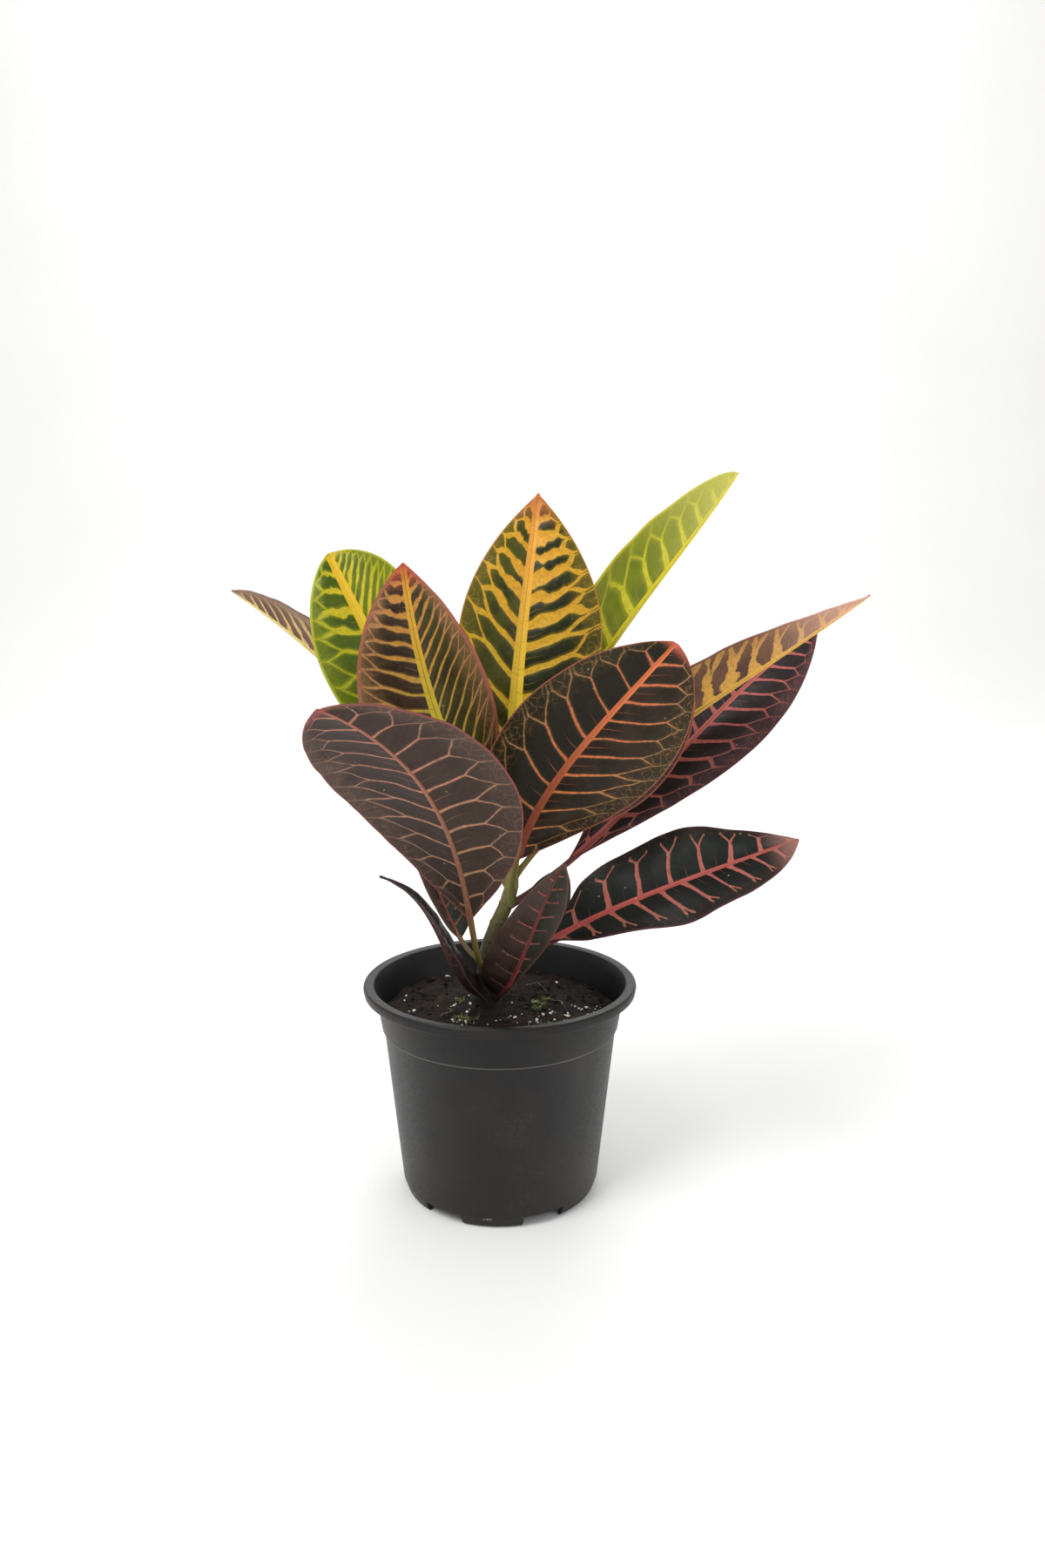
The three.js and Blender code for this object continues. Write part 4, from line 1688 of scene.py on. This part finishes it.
    def build(self) -> bpy.types.Object:
        """Builds the pot in place of the part's plain one.

        Returns:
            The pot.
        """
        bm = turned(self.profile(), self.segments)
        bmesh.ops.recalc_face_normals(bm, faces=bm.faces)
        piece = new_piece("pot_body", bm, POT_PLASTIC.material("pot_plastic"))
        cutter = self.cutter()
        cut = piece.modifiers.new("cut", "BOOLEAN")
        cut.operation = "DIFFERENCE"
        cut.solver = "EXACT"
        cut.object = cutter
        apply_modifiers(piece, 32.0)
        bpy.data.objects.remove(cutter)
        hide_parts("pot")
        return piece


# Soil


@dataclass
class Soil:
    """The peat in the pot, with crumbs, pale grains, moss and seedlings; millimetres."""

    edge_height: float = 87.5
    mound: float = 3.5
    radius: float = 55.6
    foot_radius: float = 46.0
    bottom: float = 7.5
    rings: int = 58
    segments: int = 200
    crumbs: int = 420
    grains: int = 100
    stem: tuple[float, float] = (-4, 0)
    stem_clearance: float = 6.0
    clusters: Sequence[tuple[float, float]] = (
        (-21, 0), (-18, -20), (2, -25), (28, -15), (37, -6), (17, -23),
    )
    tufts: Sequence[tuple[float, float, float, int]] = (  # place, spread and count of shoots
        (-17.0, -21.0, 5.0, 60), (-19.0, 2.0, 3.0, 18), (22.0, -28.0, 4.0, 24), (20.0, -6.0, 3.6, 26),
    )
    seedlings: Sequence[tuple[float, float]] = ((19.0, -10.0), (16.5, -7.5), (21.5, -7.0), (18.0, -13.0))
    root_starts: Sequence[Point] = (  # place, and heading in radians
        (31, -8, 1.9), (36, -22, 2.6), (-28, -18, 0.4), (6, -36, 0.2), (24, 16, 2.2),
    )
    root_steps: int = 14
    root_radius: float = 0.2

    def level(self, x: float, y: float) -> float:
        """The height of the soil's surface, with its clods.

        Args:
            x: the place to the right of the pot's axis.
            y: the place behind it.

        Returns:
            The height.
        """
        share = min(1.0, math.hypot(x, y) / self.radius)
        place = Vector((x, y, 3.0))
        lumps = noise.fractal(place / 9, 0.9, 2.1, 4) * 1.5
        crumble = abs(noise.noise(place / 2.4)) * 1.5 + abs(noise.noise(place / 1.1)) * 0.6
        return self.edge_height + self.mound * (1 - share * share) + lumps + crumble - 1.0

    def bed(self) -> bpy.types.Object:
        """Builds the soil's body and raises clods on its top.

        Returns:
            The bed.
        """
        section = [(0.0, self.bottom), (self.foot_radius, self.bottom)]
        section.append((self.radius - 1.2, self.edge_height - 8))
        section += [(self.radius * (1 - i / self.rings), self.edge_height) for i in range(self.rings + 1)]
        bm = turned(section, self.segments)
        for v in bm.verts:
            if v.co.z > (self.edge_height - 1) * MM:
                v.co.z = self.level(v.co.x / MM, v.co.y / MM) * MM
        bmesh.ops.recalc_face_normals(bm, faces=bm.faces)
        soften(bm, 70.0)
        piece = new_piece("soil_bed", bm, PEAT.material("peat"))
        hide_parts("soil")
        return piece

    def spots(self, count: int, draw: random.Random, front: float) -> Iterable[tuple[float, float]]:
        """Places on the soil, clear of the stem.

        Args:
            count: how many.
            draw: the random source.
            front: the share that is kept to the front half.

        Returns:
            The places one by one.
        """
        given = 0
        while given < count:
            radius = (self.radius - 2.5) * math.sqrt(draw.random())
            angle = draw.uniform(0, 2 * math.pi)
            x, y = radius * math.cos(angle), radius * math.sin(angle)
            if front > 0 and draw.random() < 0.45:
                x, y = (place + draw.gauss(0, 4.4) for place in draw.choice(self.clusters))
            if math.hypot(x, y) > self.radius - 2:
                continue
            if math.dist((x, y), self.stem) < self.stem_clearance or (y > 0 and draw.random() < front):
                continue
            given += 1
            yield x, y

    def scatter(
        self,
        name: str,
        finish: PlainFinish,
        count: int,
        sizes: tuple[float, float],
        front: float,
        sink: float,
    ) -> bpy.types.Object:
        """Scatters rough grains over the soil.

        Args:
            name: the piece's name.
            finish: their finish.
            count: how many.
            sizes: the smallest and largest radius.
            front: the share kept to the front half.
            sink: the share of the radius that is buried.

        Returns:
            All of them as one piece.
        """
        draw = random.Random(SEED + count)
        bm = bmesh.new()
        for x, y in self.spots(count, draw, front):
            radius = sizes[0] + (sizes[1] - sizes[0]) * draw.random() ** 2.2
            made = bmesh.ops.create_icosphere(bm, subdivisions=1, radius=1.0)["verts"]
            stretch = Vector((draw.uniform(0.75, 1.3), draw.uniform(0.75, 1.3), draw.uniform(0.6, 0.95)))
            shift = Vector((draw.random(), draw.random(), draw.random())) * 50
            centre = Vector((x, y, self.level(x, y) + radius * (0.6 - sink)))
            for v in made:
                lumpy = 1 + 0.45 * noise.noise(v.co * 1.3 + shift)
                offset = Vector((v.co.x * stretch.x, v.co.y * stretch.y, v.co.z * stretch.z))
                v.co = (centre + offset * radius * lumpy) * MM
        soften(bm, 40.0)
        piece = new_piece(name, bm, finish.material(name))
        return piece

    def moss(self) -> bpy.types.Object:
        """Grows low moss cushions and a few seedlings with round leaves.

        Returns:
            All of them as one piece.
        """
        draw = random.Random(SEED)
        bm = bmesh.new()
        for x, y, spread, count in self.tufts:
            for _ in range(count):
                px = x + draw.gauss(0, spread / 2)
                py = y + draw.gauss(0, spread / 2)
                self.sprig(bm, draw, Vector((px, py, self.level(px, py) - 0.3)), draw.uniform(1.0, 2.2))
        for x, y in self.seedlings:
            self.seedling(bm, draw, Vector((x, y, self.level(x, y) - 0.5)))
        soften(bm)
        piece = new_piece("moss_and_seedlings", bm, MOSS.material("moss"))
        return piece

    def sprig(self, bm: bmesh.types.BMesh, draw: random.Random, foot: Vector, height: float) -> None:
        """Adds one leaning moss shoot: a thin cone.

        Args:
            bm: the mesh to add to.
            draw: the random source.
            foot: where it stands.
            height: its length.
        """
        lean = Vector((draw.uniform(-0.6, 0.6), draw.uniform(-0.6, 0.6), 1)).normalized()
        size = {"radius1": 0.45, "radius2": 0.12, "depth": height}
        made = bmesh.ops.create_cone(bm, cap_ends=True, segments=5, **size)["verts"]
        turn = UP.rotation_difference(lean)
        for v in made:
            v.co = (foot + turn @ (v.co + Vector((0, 0, height / 2)))) * MM

    def seedling(self, bm: bmesh.types.BMesh, draw: random.Random, foot: Vector) -> None:
        """Adds a thin stalk with three round leaves.

        Args:
            bm: the mesh to add to.
            draw: the random source.
            foot: where it stands.
        """
        top = foot + Vector((draw.uniform(-1.2, 1.2), draw.uniform(-1.2, 1.2), draw.uniform(3.5, 5.5)))
        sweep(bm, [(foot.lerp(top, i / 4) * MM, EAST, NORTH, 0.3 * MM, 0.3 * MM) for i in range(5)], 5)
        for k in range(3):
            angle = k * 2.1 + draw.random()
            out = Vector((math.cos(angle), math.sin(angle), 0.25))
            made = bmesh.ops.create_uvsphere(bm, u_segments=10, v_segments=6, radius=1.0)["verts"]
            turn = EAST.rotation_difference(out.normalized())
            for v in made:
                flat = Vector((v.co.x * 1.25, v.co.y * 1.05, v.co.z * 0.22))
                v.co = (top + out * 1.2 + turn @ flat) * MM

    def roots(self) -> bpy.types.Object:
        """Lays a few thin pale roots over the surface.

        Returns:
            All of them as one piece.
        """
        draw = random.Random(SEED + 5)
        bm = bmesh.new()
        radius = self.root_radius * MM
        for x, y, heading in self.root_starts:
            rings = []
            for i in range(self.root_steps):
                lift = 0.5 + 1.2 * math.sin(math.pi * i / (self.root_steps - 1))
                place = Vector((x, y, self.level(x, y) + lift))
                aside = Vector((-math.sin(heading), math.cos(heading), 0))
                rings.append((place * MM, UP, aside, radius, radius))
                heading += draw.uniform(-0.25, 0.45)
                x += math.cos(heading) * 1.1
                y += math.sin(heading) * 1.1
            sweep(bm, rings, 6)
        bmesh.ops.recalc_face_normals(bm, faces=bm.faces)
        soften(bm)
        piece = new_piece("surface_roots", bm, ROOT.material("root"))
        return piece

    def build(self) -> list[bpy.types.Object]:
        """Builds the bed and all that lies on it.

        Returns:
            The pieces.
        """
        return [
            self.bed(),
            self.scatter("soil_crumbs", CRUMB, self.crumbs, (0.35, 1.6), 0.0, 0.4),
            self.scatter("perlite_grains", PERLITE, self.grains, (0.3, 1.05), 0.7, 0.35),
            self.moss(),
            self.roots(),
        ]


# Studio


@dataclass(frozen=True)
class Softbox:
    """A square lamp: where it hangs, its side, its watts and the point that it looks at; metres."""

    name: str
    place: Point
    size: float
    power: float
    aim: Point

    def hang(self) -> None:
        """Puts the lamp in the scene."""
        light = bpy.data.lights.new(self.name, "AREA")
        light.size = self.size
        light.energy = self.power
        made = in_scene(self.name, light)
        made.location = self.place
        made.rotation_euler = (Vector(self.aim) - Vector(self.place)).to_track_quat("-Z", "Y").to_euler()


@dataclass
class Studio:
    """A pale swept floor, soft lamps and the camera; metres."""

    softboxes: Sequence[Softbox] = (
        Softbox("key_softbox", (-0.8, -0.8, 1.5), 0.8, 17.0, (0, 0, 0.18)),
        Softbox("fill_softbox", (1.2, -0.9, 0.8), 1.2, 5.0, (0, 0, 0.18)),
        Softbox("back_softbox", (0.3, 1.3, 1.6), 1.0, 9.0, (0, 0, 0.2)),
        Softbox("backdrop_softbox", (0, 1.4, 2.6), 1.6, 30.0, (0, 3.4, 1.2)),
    )
    room_light: float = 0.68
    floor_front: float = -4.0
    floor_half: float = 6.0
    bend_start: float = 2.0
    bend: float = 1.2
    camera_place: Point = (0.0, -0.5, 0.278)
    camera_pitch: float = 9.26
    camera_turn: float = 1.23
    focal: float = 24.98

    def floor(self) -> None:
        """Lays the floor and bends it up behind into a backdrop."""
        bm = bmesh.new()
        left = bm.verts.new((-self.floor_half, self.floor_front, 0))
        right = bm.verts.new((self.floor_half, self.floor_front, 0))
        edges = [bm.edges.new((left, right))]
        start, bend = self.bend_start, self.bend
        turns = [math.pi / 24 * k for k in range(1, 13)]
        path = [(start, 0.0)]
        path += [(start + bend * math.sin(a), bend * (1 - math.cos(a))) for a in turns]
        path.append((start + bend, 6.0))
        for y, z in path:
            grown = bmesh.ops.extrude_edge_only(bm, edges=edges)["geom"]
            for v in (g for g in grown if isinstance(g, bmesh.types.BMVert)):
                v.co = Vector((v.co.x, y, z))
            goal = Vector((0, y, z))
            edges = [g for g in grown if isinstance(g, bmesh.types.BMEdge)]
            edges = [e for e in edges if all((v.co - goal).yz.length < 1e-6 for v in e.verts)]
        soften(bm)
        made = mesh_object("studio_floor", bm, FLOOR.material("studio_floor"))
        made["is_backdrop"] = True

    def camera(self) -> None:
        """Sets the camera at the photograph's angle."""
        lens = bpy.data.cameras.new("camera")
        lens.lens = self.focal
        lens.sensor_width = 36.0
        lens.clip_start = 0.01
        made = in_scene("camera", lens)
        made.location = self.camera_place
        made.rotation_euler = (math.radians(90 - self.camera_pitch), 0, math.radians(-self.camera_turn))
        bpy.context.scene.camera = made

    def world(self) -> None:
        """Fills the room with even white light."""
        world = bpy.data.worlds.new("studio_world")
        world.use_nodes = True
        back = world.node_tree.nodes["Background"]
        back.inputs["Color"].default_value = (1, 1, 1, 1)
        back.inputs["Strength"].default_value = self.room_light
        bpy.context.scene.world = world

    def build(self) -> None:
        """Sets up the whole studio."""
        self.floor()
        self.world()
        for softbox in self.softboxes:
            softbox.hang()
        self.camera()
        bpy.context.scene.view_settings.view_transform = "Standard"


def main() -> None:
    """Builds the studio and the plant."""
    logging.basicConfig(level=logging.INFO, format="%(name)s: %(message)s")
    Studio().build()
    pieces = [Pot().build(), *Soil().build(), Stem().build()]
    for i, leaf in enumerate(LEAVES):
        pieces += leaf.build(i + 1)
    for piece in pieces:
        LOG.info("%s: %d faces", piece.name, len(piece.data.polygons))
    boxes = {"cad": CAD_BOX, "visual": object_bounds()}
    {k: [list(corner) for corner in box] for k, box in boxes.items()}


if __name__ == "__main__":
    main()
